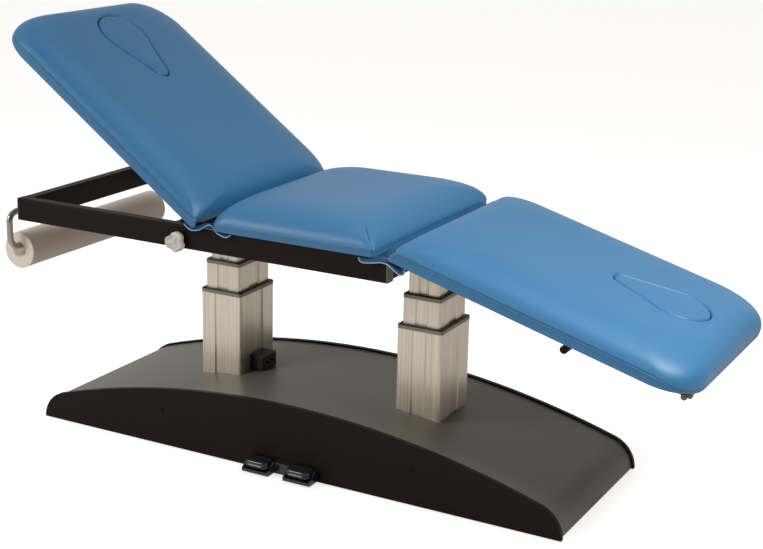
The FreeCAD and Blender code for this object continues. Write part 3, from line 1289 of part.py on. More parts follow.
def make_leg_spring():
    """The gas spring between the frame and the leg section, and the tube that carries its foot."""
    cheek_inner = "(spring_eye_width / 2 + spring_eye_gap)"
    cross = new_body("spring_cross")
    x0, x1 = "(spring_cross_x - spring_cross_width / 2)", "(spring_cross_x + spring_cross_width / 2)"
    z1 = "frame_bottom + spring_cross_height"
    section = tube_section(new_sketch(cross, "XZ_Plane"), x0, x1, "frame_bottom", z1)
    pad(cross, section, "2 * beam_inner", "both")
    pieces = [cross]
    for name, at in (("near_cheek", f"spring_y - {cheek_inner} - spring_lug_plate"),
                     ("far_cheek", f"spring_y + {cheek_inner}")):
        cheek = new_body(name)
        shape = [(x0, "frame_bottom"), ("spring_foot_x - spring_lug_radius", "spring_foot_z",
                                        "spring_lug_radius", "left"),
                 ("spring_foot_x", "spring_foot_z - spring_lug_radius", "spring_lug_radius", "left"),
                 ("spring_foot_x + spring_lug_radius", "spring_foot_z"), (x1, "frame_bottom")]
        pad(cheek, draw_loop(new_sketch(cheek, "XZ_Plane", at), shape), "spring_lug_plate")
        pieces.append(cheek)
    pin = rod("foot_pin", "spring_pin_radius",
              ("spring_foot_x", f"spring_y - {cheek_inner} - spring_lug_plate", "spring_foot_z"),
              f"2 * ({cheek_inner} + spring_lug_plate)", "y")
    pieces.append(pin)
    keep("spring_cross_tube", join("spring_cross_tube", pieces))

    # The spring lies along X in its own frame, from the foot's pin to the leg section's pin.
    angle = value("leg_tilt") * math.pi / 180
    lug_x, lug_z = value("spring_lug_x"), -value("spring_lug_drop")
    foot = vector("spring_foot_x", "0", "spring_foot_z")
    pin_place = vector("leg_hinge_x", "0", "leg_hinge_z") + FreeCAD.Vector(
        lug_x * math.cos(angle) + lug_z * math.sin(angle), 0,
        -lug_x * math.sin(angle) + lug_z * math.cos(angle))
    reach = pin_place - foot
    fall = math.degrees(math.atan2(-reach.z, reach.x))
    seat = FreeCAD.Placement(foot + vector("0", "spring_y", "0"),
                             FreeCAD.Rotation(FreeCAD.Vector(0, 1, 0), fall))
    long = reach.Length
    start, tube_end = value("spring_tube_start"), value("spring_tube_start") + value("spring_tube_length")
    wall, cap = value("spring_tube_wall"), value("spring_tube_cap")
    out, inner = value("spring_tube_radius"), value("spring_tube_radius") - value("spring_tube_wall")
    stem, slip = value("spring_rod_radius"), value("slide_clearance")

    def turned(outline):
        points = [FreeCAD.Vector(x, 0, r) for x, r in outline]
        face = Part.Face(Part.makePolygon(points + points[:1]))
        return face.revolve(FreeCAD.Vector(0, 0, 0), FreeCAD.Vector(1, 0, 0), 360)

    def eye(x, radius, bore):
        wide, deep = value("spring_eye_width"), value("spring_eye_width + 2 * cut_overrun")
        across = FreeCAD.Vector(0, 1, 0)
        return (Part.makeCylinder(radius, wide, FreeCAD.Vector(x, -wide / 2, 0), across),
                Part.makeCylinder(bore, deep, FreeCAD.Vector(x, -deep / 2, 0), across))

    shell = turned([(start, 0), (start + cap, 0), (start + cap, inner), (tube_end - cap, inner),
                    (tube_end - cap, stem + slip), (tube_end, stem + slip), (tube_end, out), (start, out)])
    ring, hole = eye(0, value("spring_eye_radius"), value("spring_pin_radius + pin_clearance"))
    neck = Part.makeCylinder(stem, start, FreeCAD.Vector(0, 0, 0), FreeCAD.Vector(1, 0, 0))
    tube = doc.addObject("Part::Feature", "leg_spring_tube")
    tube.Shape = shell.fuse([ring, neck]).cut(hole).removeSplitter()
    tube.Placement = seat
    keep("leg_spring_tube", tube)

    piston_start = tube_end - value("spring_rod_tail")
    piston_end = piston_start + value("spring_piston_length")
    piston = inner - value("spring_piston_gap")
    stem_solid = turned([(piston_start, 0), (long, 0), (long, stem), (piston_end, stem),
                         (piston_end, piston), (piston_start, piston)])
    ring, hole = eye(long, value("spring_rod_eye_radius"), value("spring_open_bore"))
    stick = doc.addObject("Part::Feature", "leg_spring_rod")
    stick.Shape = stem_solid.fuse(ring).cut(hole).removeSplitter()
    stick.Placement = seat
    keep("leg_spring_rod", stick)


def make_paper_roll():
    """The roll, and the bent bar that it hangs on at the head end."""
    roll = new_body("paper_roll")
    ring = new_sketch(roll, "XZ_Plane", "-roll_near_end")
    draw_circle(ring, "0", "0", "roll_radius")
    draw_circle(ring, "0", "0", "roll_bore")
    pad(roll, ring, "roll_length")
    put(roll, "-roll_x", "0", "roll_height")
    keep("paper_roll", roll)

    face = "-frame_head_end"
    flange_y = "-bar_flange_y"
    start_z = "bar_flange_height - bar_start_drop"
    points = [vector(f"{face} - bar_flange_thickness / 2", flange_y, start_z),
              vector("-roll_x", flange_y, start_z),
              vector("-roll_x", f"{flange_y} - bar_bow_reach", "bar_bow_height"),
              vector("-roll_x", f"{flange_y} - bar_bow_reach", "bar_z"),
              vector("-roll_x", "roll_length - roll_near_end - bar_end_inset", "bar_z")]
    bends = [value(size) for size in ("bar_start_bend", "bar_bow_bend", "bar_return_bend")]
    shape = bent_rod(points, value("bar_radius"), bends)
    size, thick = value("bar_flange_size"), value("bar_flange_thickness")
    corner = vector(f"{face} - bar_flange_thickness", f"{flange_y} - bar_flange_size / 2",
                    "bar_flange_height - bar_flange_size / 2")
    plate = Part.makeBox(thick, size, size, corner)
    upright = [edge for edge in plate.Edges if abs(edge.tangentAt(edge.FirstParameter).x) > 0.99]
    plate = plate.makeFillet(value("bar_flange_corner"), upright)
    bar = doc.addObject("Part::Feature", "roll_bar")
    bar.Shape = shape.fuse(plate).removeSplitter()
    keep("roll_bar", bar)


def check_document():
    """Every object is computed and every sub-part is a valid, non-empty shape."""
    doc.recompute()
    for thing in doc.Objects:
        bad = [state for state in thing.State if state in ("Invalid", "Error")]
        if bad:
            raise RuntimeError(f"{thing.Name} failed: {thing.State}")
    for label, thing in SUBPARTS.items():
        shape = thing.Shape
        if shape.isNull() or not shape.isValid() or not shape.Solids:
            raise RuntimeError(f"{label} has no valid shape")


def main():
    make_base()
    make_columns()
    make_base_fittings()
    make_pedals()
    make_frame()
    make_hinge_ears()
    make_lock()
    make_pads()
    make_gap_strips()
    make_backrest_frame()
    make_leg_frame()
    make_leg_bars()
    make_leg_spring()
    make_paper_roll()
    check_document()
    os.makedirs("parts", exist_ok=True)
    for label, thing in SUBPARTS.items():
        thing.Shape.exportStep(f"parts/{label}.step")
        print(label, len(thing.Shape.Solids), round(thing.Shape.Volume))


main()
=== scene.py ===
import json
import math
from collections import namedtuple

import bmesh
import bpy
import numpy as np
from mathutils import Matrix, Vector


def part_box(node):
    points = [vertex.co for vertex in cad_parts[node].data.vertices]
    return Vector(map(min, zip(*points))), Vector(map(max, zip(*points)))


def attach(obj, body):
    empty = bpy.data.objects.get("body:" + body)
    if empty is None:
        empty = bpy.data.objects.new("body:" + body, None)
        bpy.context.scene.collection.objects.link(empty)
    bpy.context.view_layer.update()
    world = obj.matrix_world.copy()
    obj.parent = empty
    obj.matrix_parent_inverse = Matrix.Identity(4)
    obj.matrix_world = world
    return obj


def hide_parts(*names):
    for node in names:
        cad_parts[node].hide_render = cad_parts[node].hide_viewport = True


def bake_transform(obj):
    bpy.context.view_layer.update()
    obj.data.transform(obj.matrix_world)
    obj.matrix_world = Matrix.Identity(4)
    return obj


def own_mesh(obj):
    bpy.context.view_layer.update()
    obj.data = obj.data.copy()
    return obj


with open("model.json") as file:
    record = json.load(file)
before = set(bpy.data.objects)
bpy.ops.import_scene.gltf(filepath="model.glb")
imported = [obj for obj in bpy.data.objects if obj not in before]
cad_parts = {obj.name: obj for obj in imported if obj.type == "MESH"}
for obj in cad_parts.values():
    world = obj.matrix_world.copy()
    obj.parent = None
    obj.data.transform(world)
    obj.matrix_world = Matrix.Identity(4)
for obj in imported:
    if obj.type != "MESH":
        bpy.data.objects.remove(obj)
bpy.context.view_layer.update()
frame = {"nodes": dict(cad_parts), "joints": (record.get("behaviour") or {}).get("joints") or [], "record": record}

# Lengths are in metres. X runs to the leg section, -Y to the pedal side, Z up.
joint = {entry["name"]: entry for entry in frame["joints"]}
FULL_TURN = 2 * math.pi
QUARTER_TURN = math.pi / 2

# Where the picture is taken from.
CAMERA_PLACE = (1.8738, -3.2481, 1.5426)
CAMERA_AZIMUTH = math.radians(28.12)
CAMERA_ELEVATION = math.radians(16.16)
CAMERA_ROLL = math.radians(1.26)
CAMERA_LENS_MM = 73.09
CAMERA_SENSOR_MM = 36.0

# Padded sections. A tilting one is measured from its hinge, along its own slope. Above a straight
# band its sides and ends fall inwards, up to the flat top.
PAD_THICKNESS = 0.0755
PAD_BAND = 0.0101
FALL_HEIGHT = PAD_THICKNESS - PAD_BAND
PAD_HALF_WIDTH = 0.310
SIDE_FALL = 0.178
END_FALL = 0.0795
SIDE_POWERS = (2.3, 3.01)
END_POWERS = (1.85, 2.6)
CORNER_POWER = 0.85
LOWER_ROUND = 0.0035
SIDE_HOLLOW = 0.0016
BACKREST_UNDERSIDE = 0.0075
LEG_UNDERSIDE = -0.0085
BOARD_INSET = 0.013
BOARD_THICKNESS = 0.012
BOARD_GAP = 0.0004
FOAM_FLOOR = BOARD_THICKNESS + BOARD_GAP

# The skin's rows from the board out over the underside: how far in from the outline, and height.
UNDER_ROWS = ((BOARD_INSET + BOARD_GAP, FOAM_FLOOR), (BOARD_INSET + BOARD_GAP, 0), (0.009, 0), (0.006, 0))

# The seam round a pad: its valley, the swells beside it, its puckers, more at the corners, and how
# much lower it is drawn along a free end. Two rows of stitches, each in a shallow valley.
SEAM_DEPTH = 0.0022
SEAM_WIDTH = 0.0012
SWELL = 0.0007
SWELL_ROW = 0.0034
PUCKER = 0.0004
CORNER_PUCKER = 0.0010
SEAM_SINK = 0.70
STITCH_DEPTH = 0.0006
STITCH_ROW = 0.0040
STITCH_SPACING = 0.0034
STITCH_SHARE = 0.74
STITCH_SUNK = 0.0002
THREAD_RADIUS = 0.00055
THREAD_SIDES = 6

# Hinge ends of the tilting pads: how far their corners reach out past the beams' outer faces, how
# far the leg section's end swells over the hinge's ears, and how far the backrest's is drawn in.
BEAM_FACE = 0.2988
CORNER_REACH = 0.012
EAR_SWELL = 0.004
HINGE_ROOM = 0.0027
HINGE_ROOM_FADE = 0.27

# Darts down the seat's two foot corners.
DART_DEPTH = 0.0016
DART_RADIUS = 0.0009
DART_HEIGHTS = (0.004, 0.054)

# Face-hole plugs, drop shaped: radii of the two ends, whole length, gap all round, rounding of the
# top edge, crown of the plug, and where the tip of the wide end is along the section. Rows of the
# hole's wall, and the level of the pad's fall from which its rows run to the hole.
PLUG_WIDE = 0.076
PLUG_NARROW = 0.027
PLUG_LENGTH = 0.238
PLUG_APART = PLUG_LENGTH - PLUG_WIDE - PLUG_NARROW
PLUG_GAP = 0.0012
PLUG_ROUND = 0.0085
PLUG_CROWN = 0.0016
BACKREST_PLUG_END = -0.649
LEG_PLUG_END = 0.6659
HOLE_WALL = (0.055, 0.042, 0.027, FOAM_FLOOR)
HOLED_TOP = 0.93

# Points of an outline: round each corner, and along the straight run after it.
CORNER_STEPS = 14
SIDE_STEPS = 84
QUARTER = CORNER_STEPS + SIDE_STEPS
CORNER_TURN = np.linspace(0, QUARTER_TURN, CORNER_STEPS, endpoint=False)
SEAT_CORNERS = {"foot": CORNER_STEPS // 2, "far_foot": QUARTER + CORNER_STEPS // 2}


def smooth_step(share):
    share = np.clip(share, 0, 1)
    return share * share * (3 - 2 * share)


def bell(off, width):
    """1 where off is 0, falling away to both sides: exp(-(off / width)^2)."""
    return np.exp(-(off / width) ** 2)


def ripple(along, seed, waves=7, longest=0.32):
    """A wandering line between -1 and 1: a sum of sines whose lengths and phases come from the seed."""
    rng = np.random.default_rng(seed)
    lengths = longest / (1 + np.arange(waves) + rng.random(waves) * 0.6)
    phases = rng.random(waves) * FULL_TURN
    weights = 1 / (1 + np.arange(waves)) ** 0.6
    total = sum(w * np.sin(FULL_TURN * along / l + p) for w, l, p in zip(weights, lengths, phases))
    return total / weights.sum()


def length_along(points):
    """Length of a line of points up to each of them."""
    return np.concatenate([[0], np.cumsum(np.linalg.norm(np.diff(points, axis=0), axis=1))])


def directions(angle):
    """Unit vectors of a plan at angles: (cos a, sin a)."""
    return np.stack([np.cos(angle), np.sin(angle)], -1)


def lifted(spots, height):
    """Points of a plan, each with its height."""
    return np.concatenate([spots, np.broadcast_to(height, spots.shape[:-1])[..., None]], -1)


def section_place(tilt, underside=0.0):
    """A function that puts points of a tilting section's own frame where the section is. They lie
    x' along its slope, y across and z' out of it, and are turned by its tilt about its hinge."""
    angle, hinge = -math.radians(joint[tilt]["range_deg"][0]), joint[tilt]["pos_m"]

    def place(points):
        x, y, z = points[..., 0], points[..., 1], points[..., 2] + underside
        return np.stack([hinge[0] + x * math.cos(angle) + z * math.sin(angle), y,
                         hinge[2] - x * math.sin(angle) + z * math.cos(angle)], -1)

    return place


def seat_place(points):
    return points + np.array([0, 0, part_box("seat_cushion")[0].z])


def grid_faces(rows, columns, around, closed):
    """Quads between neighbouring points of a grid, wrapped around its columns and over its rows."""
    row = np.arange(rows if closed else rows - 1)[:, None]
    column = np.arange(columns if around else columns - 1)[None, :]
    up, side = (row + 1) % rows, (column + 1) % columns
    return np.stack([row * columns + column, row * columns + side,
                     up * columns + side, up * columns + column], -1).reshape(-1, 4)


def new_object(name, data):
    thing = bpy.data.objects.new(name, data)
    bpy.context.scene.collection.objects.link(thing)
    return thing


def new_piece(name, points, faces, weld=None, outward=True, smooth=True):
    """A piece from points and faces, with doubles merged up to weld and faces turned outwards."""
    mesh = bpy.data.meshes.new(name)
    mesh.from_pydata(points.reshape(-1, 3).tolist(), [], faces)
    if outward:
        work = bmesh.new()
        work.from_mesh(mesh)
        if weld:
            bmesh.ops.remove_doubles(work, verts=work.verts, dist=weld)
        bmesh.ops.recalc_face_normals(work, faces=work.faces)
        work.to_mesh(mesh)
        work.free()
    mesh.polygons.foreach_set("use_smooth", np.full(len(mesh.polygons), smooth))
    return new_object(name, mesh)


def surface(name, points, around=True, closed=False, weld=2e-5, smooth=True, caps=False):
    """A piece from a grid of points. With caps its first and last row are each filled by a face."""
    rows, columns = points.shape[:2]
    faces = grid_faces(rows, columns, around, closed).tolist()
    if caps:
        faces += [list(range(columns)), list(range((rows - 1) * columns, rows * columns))]
    return new_piece(name, points, faces, weld=weld, smooth=smooth)


def dress(piece, body, slot, *nodes, finish=None):
    """Give a piece the body it moves with and a finish, which is its slot's unless it has one of
    its own, and hide the solids that it stands for."""
    piece.data.materials.append(FINISH[finish or slot])
    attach(piece, body)
    if nodes:
        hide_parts(*nodes)


# A pad's ends along its length, their corners' radii and how far their falls reach, the height and
# strength of its seam, which end, if any, has its seam drawn down out of sight, and the radius of
# its flat top's corners.
Plan = namedtuple("Plan", ("low", "high", "low_corner", "high_corner", "low_fall", "high_fall", "seam",
                           "relief", "soft_end", "top_corner"))
SEAT = Plan(-0.1581, 0.2800, 0.018, 0.012, END_FALL, 0.118, 0.0150, 0.25, 0, 0.112)
BACKREST = Plan(-0.7183, -0.0032, 0.103, 0.010, END_FALL, END_FALL, 0.0235, 0.8, -1, 0.130)
LEG = Plan(0.0145, 0.7463, 0.010, 0.103, END_FALL, END_FALL, 0.0235, 0.8, 1, 0.130)


def profile(level):
    """Where a pad's outline is at a level of its fall, 0 at the top of its straight band and 1 at
    its flat top: how far its sides are drawn in, the share of the ends' fall and of the corners'
    growth. A height share u goes with an inset share 1 - (1 - u^q)^(1/p) of the fall."""
    level = np.clip(level, 0, 1)
    side, end = (1 - (1 - level ** q) ** (1 / p) for q, p in (SIDE_POWERS, END_POWERS))
    return SIDE_FALL * side, end, 1 - (1 - level ** END_POWERS[0]) ** CORNER_POWER


def outline(plan, level, draw_in):
    """Rows of a rounded rectangle, each point at its level of the pad's fall and drawn in a little
    more. Four corner arcs, centre + r (cos a, sin a), are joined by straight runs with a fixed
    count of points, so that the points of different rows line up."""
    side, end, growth = profile(level)
    run = np.linspace(0, 1, SIDE_STEPS, endpoint=False)[None, :, None]
    places = ((1, -1), (1, 1), (-1, 1), (-1, -1))

    def arc(which, angle, part):
        toward_x, toward_y = places[which % 4]
        edge_x, corner, fall = ((plan.high, plan.high_corner, plan.high_fall) if toward_x > 0
                                else (plan.low, plan.low_corner, plan.low_fall))
        radius = corner * (1 - growth[:, part]) + plan.top_corner * growth[:, part]
        middle_x = edge_x - toward_x * (fall * end[:, part] + radius)
        middle_y = toward_y * (PAD_HALF_WIDTH - side[:, part] - radius)
        radius = radius - draw_in[:, part]
        return np.stack([middle_x + radius * np.cos(angle), middle_y + radius * np.sin(angle)], -1)

    rows = []
    for corner in range(4):
        bend = slice(corner * QUARTER, corner * QUARTER + CORNER_STEPS)
        straight = slice(bend.stop, (corner + 1) * QUARTER)
        angle = (corner - 1) * QUARTER_TURN
        start, stop = (arc(which, angle + QUARTER_TURN, straight) for which in (corner, corner + 1))
        rows += [arc(corner, angle + CORNER_TURN, bend), start + (stop - start) * run]
    return np.concatenate(rows, 1)


def outline_corners():
    """1 in the middle of each corner of an outline, falling to 0 along the runs beside it."""
    around = 4 * QUARTER
    step = np.arange(around)
    off = np.min([np.abs((step - corner * QUARTER - CORNER_STEPS / 2 + around / 2) % around - around / 2)
                  for corner in range(4)], axis=0)
    return bell(off, CORNER_STEPS * 0.75)


def end_share(toward):
    """1 along the end that looks toward +X or -X, 0 along the other sides, slow through the corners."""
    normals = np.concatenate([np.append((corner - 1) * QUARTER_TURN + CORNER_TURN,
                                        np.full(SIDE_STEPS, corner * QUARTER_TURN)) for corner in range(4)])
    return smooth_step(np.clip(np.cos(normals) * toward, 0, 1) * 1.1)


def seam_share(plan):
    """Height of the seam round a pad, as a share of its height where it isn't drawn down."""
    return 1 - SEAM_SINK * end_share(plan.soft_end)


def top_height(points, plan):
    """Height of a pad's top over points of its plan: the highest level whose outline still holds
    the point, found by halving."""
    x, y = points[..., 0], np.abs(points[..., 1])
    middle = (plan.low + plan.high) / 2
    low, high = np.zeros(x.shape), np.ones(x.shape)
    corner = np.where(x > middle, plan.high_corner, plan.low_corner)
    fall = np.where(x > middle, plan.high_fall, plan.low_fall)
    from_end = np.where(x > middle, plan.high - x, x - plan.low)
    for _ in range(24):
        level = (low + high) / 2
        side, end, growth = profile(level)
        radius = corner * (1 - growth) + plan.top_corner * growth
        past_x = radius - (from_end - fall * end)
        past_y = y - (PAD_HALF_WIDTH - side - radius)
        outside = (np.hypot(np.maximum(past_x, 0), np.maximum(past_y, 0))
                   + np.minimum(np.maximum(past_x, past_y), 0))
        holds = outside < radius
        low, high = np.where(holds, level, low), np.where(holds, high, level)
    return PAD_BAND + FALL_HEIGHT * low


def drop_radius(angle, toward, grow):
    """How far a drop-shaped hole reaches in a direction from its middle. Its edge is two circles
    and the two lines that touch both; it is sampled finely and looked up by angle."""
    wide, narrow = PLUG_WIDE + grow, PLUG_NARROW + grow
    lean = math.acos((PLUG_WIDE - PLUG_NARROW) / PLUG_APART)
    big = np.linspace(lean, FULL_TURN - lean, 400)
    small = np.linspace(-lean, lean, 200)
    share = np.linspace(0, 1, 200)[:, None]
    round_big = wide * directions(big)
    round_small = (PLUG_APART, 0) + narrow * directions(small)
    line_down = round_big[-1] + (round_small[0] - round_big[-1]) * share
    line_up = round_small[-1] + (round_big[0] - round_small[-1]) * share
    edge = np.concatenate([round_big, line_down, round_small, line_up])
    edge[:, 0] -= PLUG_APART / 2
    theta = np.arctan2(edge[:, 1], edge[:, 0])
    order = np.argsort(theta)
    reach = np.hypot(edge[:, 0], edge[:, 1])[order]
    own = angle if toward > 0 else math.pi - angle
    own = (own + math.pi) % FULL_TURN - math.pi
    return np.interp(own, theta[order], reach, period=FULL_TURN)


def drop_middle(wide_end, toward):
    """Middle between the centres of a drop's two ends, seen in plan. toward is +1 where the narrow
    end has the higher x."""
    return np.array([wide_end + toward * (PLUG_WIDE + PLUG_APART / 2), 0])


def seam_relief(plan, height, along, seed):
    """How far a pad's side is drawn in at a height: a narrow valley at the seam with a swell to
    either side, two shallow valleys at the rows of stitches, and puckers that die away from the
    seam and are stronger round the corners."""
    off = height - plan.seam
    valley = SEAM_DEPTH * bell(off, SEAM_WIDTH)
    swell = -SWELL * bell(np.abs(off) - SWELL_ROW, 0.0016)
    rows = STITCH_DEPTH * bell(np.abs(off) - STITCH_ROW, 0.0006)
    fade = bell(off, np.where(off > 0, 0.016, 0.009))
    pucker = (PUCKER + CORNER_PUCKER * outline_corners()) * fade * ripple(along, seed, 9, 0.052)
    return plan.relief * (valley + swell + rows) + pucker


def side_rows(plan):
    """Heights of a pad's side from its underside to a little over its seam."""
    low = np.array([0.0, 0.0005, 0.0014, 0.0028, 0.005, 0.008, 0.0115, 0.015, 0.018])
    low = low[low < plan.seam - 0.0065]
    return np.concatenate([low, np.linspace(plan.seam - 0.0055, plan.seam + 0.0055, 28)])


def hinge_lip(points, plan):
    """The two corners at a tilting pad's hinge end reach out a little past it, outside the beams,
    and the leg section's end swells between them above the hinge's ears."""
    if plan.soft_end == 0:
        return points
    x, y, z = points[..., 0], np.abs(points[..., 1]), points[..., 2]
    hinge = plan.high if plan.soft_end < 0 else plan.low
    near = smooth_step(1 - np.abs(x - hinge) / 0.045)
    outside = smooth_step((y - BEAM_FACE) / 0.008) * smooth_step(1 - (z - 0.006) / 0.034)
    swell = smooth_step(1 - np.abs(z - 0.030) / 0.015) * smooth_step(1 - np.abs(x - hinge) / 0.03)
    reach = CORNER_REACH * near * outside + (EAR_SWELL * swell * (1 - outside) if plan.soft_end > 0 else 0)
    moved = points.copy()
    moved[..., 0] -= plan.soft_end * reach
    return moved


def hinge_room(plan, height):
    """How far the backrest's lower end is drawn in near its underside, so that it clears the beams
    when the section stands at its steepest."""
    if plan.soft_end >= 0:
        return 0 * height
    return end_share(-plan.soft_end) * np.clip(HINGE_ROOM - HINGE_ROOM_FADE * height, 0, None)


def pad_rim(plan, stop_level, seed):
    """Rows of a pad's skin from the board's edge out over the underside, up the side with its seam
    and over the fall of profile() up to a level of it."""
    flat = np.zeros((1, 4 * QUARTER))
    along = length_along(outline(plan, flat, flat)[0])
    sink = seam_share(plan)

    def relief(height):
        return seam_relief(plan, height, along, seed) * (1.3 * sink - 0.3)

    upright = side_rows(plan)[:, None] + flat
    lower = LOWER_ROUND * (1 - np.sqrt(np.clip(1 - (1 - upright / LOWER_ROUND) ** 2, 0, 1)))
    lower = np.where(upright < LOWER_ROUND, lower, 0)
    hollow = SIDE_HOLLOW * np.sin(math.pi * np.clip(upright / plan.seam, 0, 1))
    side_draw = lower + hollow * sink + relief(upright)
    side_height = upright * sink
    side_level = (side_height - PAD_BAND) / FALL_HEIGHT

    share = (1 - (1 - np.linspace(0, 1, 27)[1:]) ** 1.5)[:, None]
    levels = side_level[-1] + (stop_level - side_level[-1]) * share
    rise_height = PAD_BAND + FALL_HEIGHT * levels

    under_draw, under_height = np.array(UNDER_ROWS).T[..., None] + flat
    level = np.concatenate([0 * under_draw, side_level, levels])
    draw = np.concatenate([under_draw, side_draw, relief(rise_height / sink)])
    height = np.concatenate([under_height, side_height, rise_height])
    if plan.soft_end == 0:
        for middle in SEAT_CORNERS.values():
            upper = height[len(UNDER_ROWS):, middle]
            draw[len(UNDER_ROWS):, middle] += DART_DEPTH * smooth_step(1 - (upper - 0.040) / 0.020)
    draw += hinge_room(plan, height)
    return hinge_lip(lifted(outline(plan, level, draw), height), plan)


def pad_shell(plan, hole, seed):
    """The upholstered skin of a pad as rows of points, in the pad's own frame: the rows of
    pad_rim(), and from there across the top, to the hole, down its wall and back under, or to a
    flat middle above and below."""
    rim = pad_rim(plan, HOLED_TOP if hole else 1.0, seed)
    first, last = rim[0, :, :2], rim[-1, :, :2]
    if hole is None:
        middle = np.array([(plan.low + plan.high) / 2, 0])
        below = first + (middle - first) * np.linspace(0.8, 0, 5)[:-1, None, None]
        across = last + (middle - last) * np.linspace(0, 0.8, 9)[1:, None, None]
        return np.concatenate([lifted(below, FOAM_FLOOR), rim, lifted(across, PAD_THICKNESS)])

    wide_end, toward = hole
    centre = drop_middle(wide_end, toward)
    angle = np.arctan2(last[:, 1], last[:, 0] - centre[0])

    def ring(grow):
        return centre + directions(angle) * drop_radius(angle, toward, grow)[:, None]

    share = (1 - (1 - np.linspace(0, 1, 33)[1:]) ** 1.3)[:, None, None]
    across = last + (ring(PLUG_ROUND) - last) * share
    top = lifted(across, top_height(across, plan))
    lip_height = top[-1, :, 2]
    lip = [lifted(ring(PLUG_ROUND * (1 - math.sin(a))), lip_height - PLUG_ROUND * (1 - math.cos(a)))
           for a in np.linspace(0, QUARTER_TURN, 9)[1:]]
    wall = [lifted(ring(0), height) for height in HOLE_WALL]
    below = ring(0) + (first - ring(0)) * np.linspace(0, 1, 7)[1:-1, None, None]
    return np.concatenate([rim, top, np.stack(lip + wall), lifted(below, FOAM_FLOOR)])


def plug_shell(plan, wide_end, toward):
    """A face-hole plug's skin: rows from the middle of its top out over a rounded edge, down its
    side and back under to the middle. Its top follows the pad's, a little crowned."""
    angle = np.linspace(0, FULL_TURN, 220, endpoint=False)
    reach = drop_radius(angle, toward, -PLUG_GAP)
    body = reach - PLUG_ROUND

    def ring(radius):
        return drop_middle(wide_end, toward) + directions(angle) * radius[:, None]

    rim_height = top_height(ring(body), plan)
    rows = []
    for share in np.linspace(0, 1, 22):
        spot = ring(body * share)
        rows.append(lifted(spot, top_height(spot, plan) + PLUG_CROWN * (1 - share ** 4)))
    for a in np.linspace(0, QUARTER_TURN, 10)[1:]:
        spot = ring(body + PLUG_ROUND * math.sin(a))
        rows.append(lifted(spot, rim_height - PLUG_ROUND * (1 - math.cos(a))))
    floor = BOARD_THICKNESS + 2 * BOARD_GAP
    for share, height in ((1, 0.055), (1, 0.036), (1, floor + 0.002), (0.985, floor), (0.6, floor),
                          (0.3, floor), (0, floor)):
        rows.append(lifted(ring(reach * share), height))
    return np.stack(rows)


def stitch_row(plan, upright):
    """The closed line of a row of stitches, which follows the pad's side at a height of it."""
    height = upright * seam_share(plan)
    level = (height - PAD_BAND) / FALL_HEIGHT
    hollow = SIDE_HOLLOW * math.sin(math.pi * upright / plan.seam) if upright < plan.seam else 0
    draw = STITCH_SUNK + hollow * seam_share(plan) + hinge_room(plan, height)
    path = hinge_lip(lifted(outline(plan, level[None], draw[None])[0], height), plan)
    return np.vstack([path, path[:1]])


def stitches(name, plan, place):
    """Rows of thread above and below the seam: small capsules, each a ring swept along its stitch,
    half sunk into the vinyl, laid end to end round the pad."""
    steps = np.array([0.0, 0.12, 0.5, 0.88, 1.0])
    thick = np.array([0.15, 0.75, 1.0, 0.75, 0.15]) * THREAD_RADIUS
    ring = np.linspace(0, FULL_TURN, THREAD_SIDES, endpoint=False)
    up = np.array([0, 0, 1.0])
    loops = [stitch_row(plan, plan.seam - STITCH_ROW), stitch_row(plan, plan.seam + STITCH_ROW)]
    count = int(length_along(loops[0])[-1] / STITCH_SPACING)
    rings = []
    for loop in loops:
        length = length_along(loop)
        start = np.arange(count) * length[-1] / count
        one, other = (np.stack([np.interp(start + past, length, loop[:, k]) for k in range(3)], -1)
                      for past in (0, length[-1] / count * STITCH_SHARE))
        along = other - one
        out = np.stack([along[:, 1], -along[:, 0], 0 * along[:, 0]], -1)
        out /= np.linalg.norm(out, axis=1, keepdims=True)
        for share, radius in zip(steps, thick):
            middle = one + along * share
            rings.append(middle[:, None, :] + out[:, None, :] * (radius * np.cos(ring))[None, :, None]
                         + up[None, None, :] * (radius * np.sin(ring))[None, :, None])
    points = np.stack(rings, 1).reshape(count * 2, len(steps), THREAD_SIDES, 3)
    first = (np.arange(count * 2) * len(steps) * THREAD_SIDES)[:, None, None]
    faces = (grid_faces(len(steps), THREAD_SIDES, True, False)[None] + first).reshape(-1, 4)
    return new_piece(name, place(points), faces.tolist(), outward=False)


def fill(tree, node, values):
    """Set a node's sockets, named or numbered, to values or link them to other sockets."""
    for name, value in values.items():
        if isinstance(value, bpy.types.NodeSocket):
            tree.links.new(value, node.inputs[name])
        else:
            node.inputs[name].default_value = value
    return node


def add(tree, kind, values=None, **settings):
    """A shader node with its settings and the values of its sockets."""
    node = tree.nodes.new("ShaderNode" + kind)
    for name, value in settings.items():
        setattr(node, name, value)
    return fill(tree, node, values or {})


def use(tree, group, **values):
    """A group placed in a material with its own values."""
    return fill(tree, add(tree, "Group", node_tree=group), values)


def reckon(tree, operation, one, other):
    """The result of a sum, difference or product of two values."""
    return add(tree, "Math", {0: one, 1: other}, operation=operation).outputs[0]


def spread(tree, value, low, high, start=0.0, stop=1.0, ease="LINEAR"):
    """A value that runs from start to stop, spread from low to high."""
    return add(tree, "MapRange", {"Value": value, "From Min": start, "From Max": stop,
                                  "To Min": low, "To Max": high}, interpolation_type=ease).outputs["Result"]


def blend_colours(tree, share, one, other):
    return add(tree, "Mix", {0: share, 6: one, 7: other}, data_type="RGBA").outputs[2]


def own_place(tree):
    """Places in the piece's own coordinates."""
    return add(tree, "TexCoord").outputs["Object"]


def bump(tree, height, distance):
    return add(tree, "Bump", {"Height": height, "Distance": distance}).outputs["Normal"]


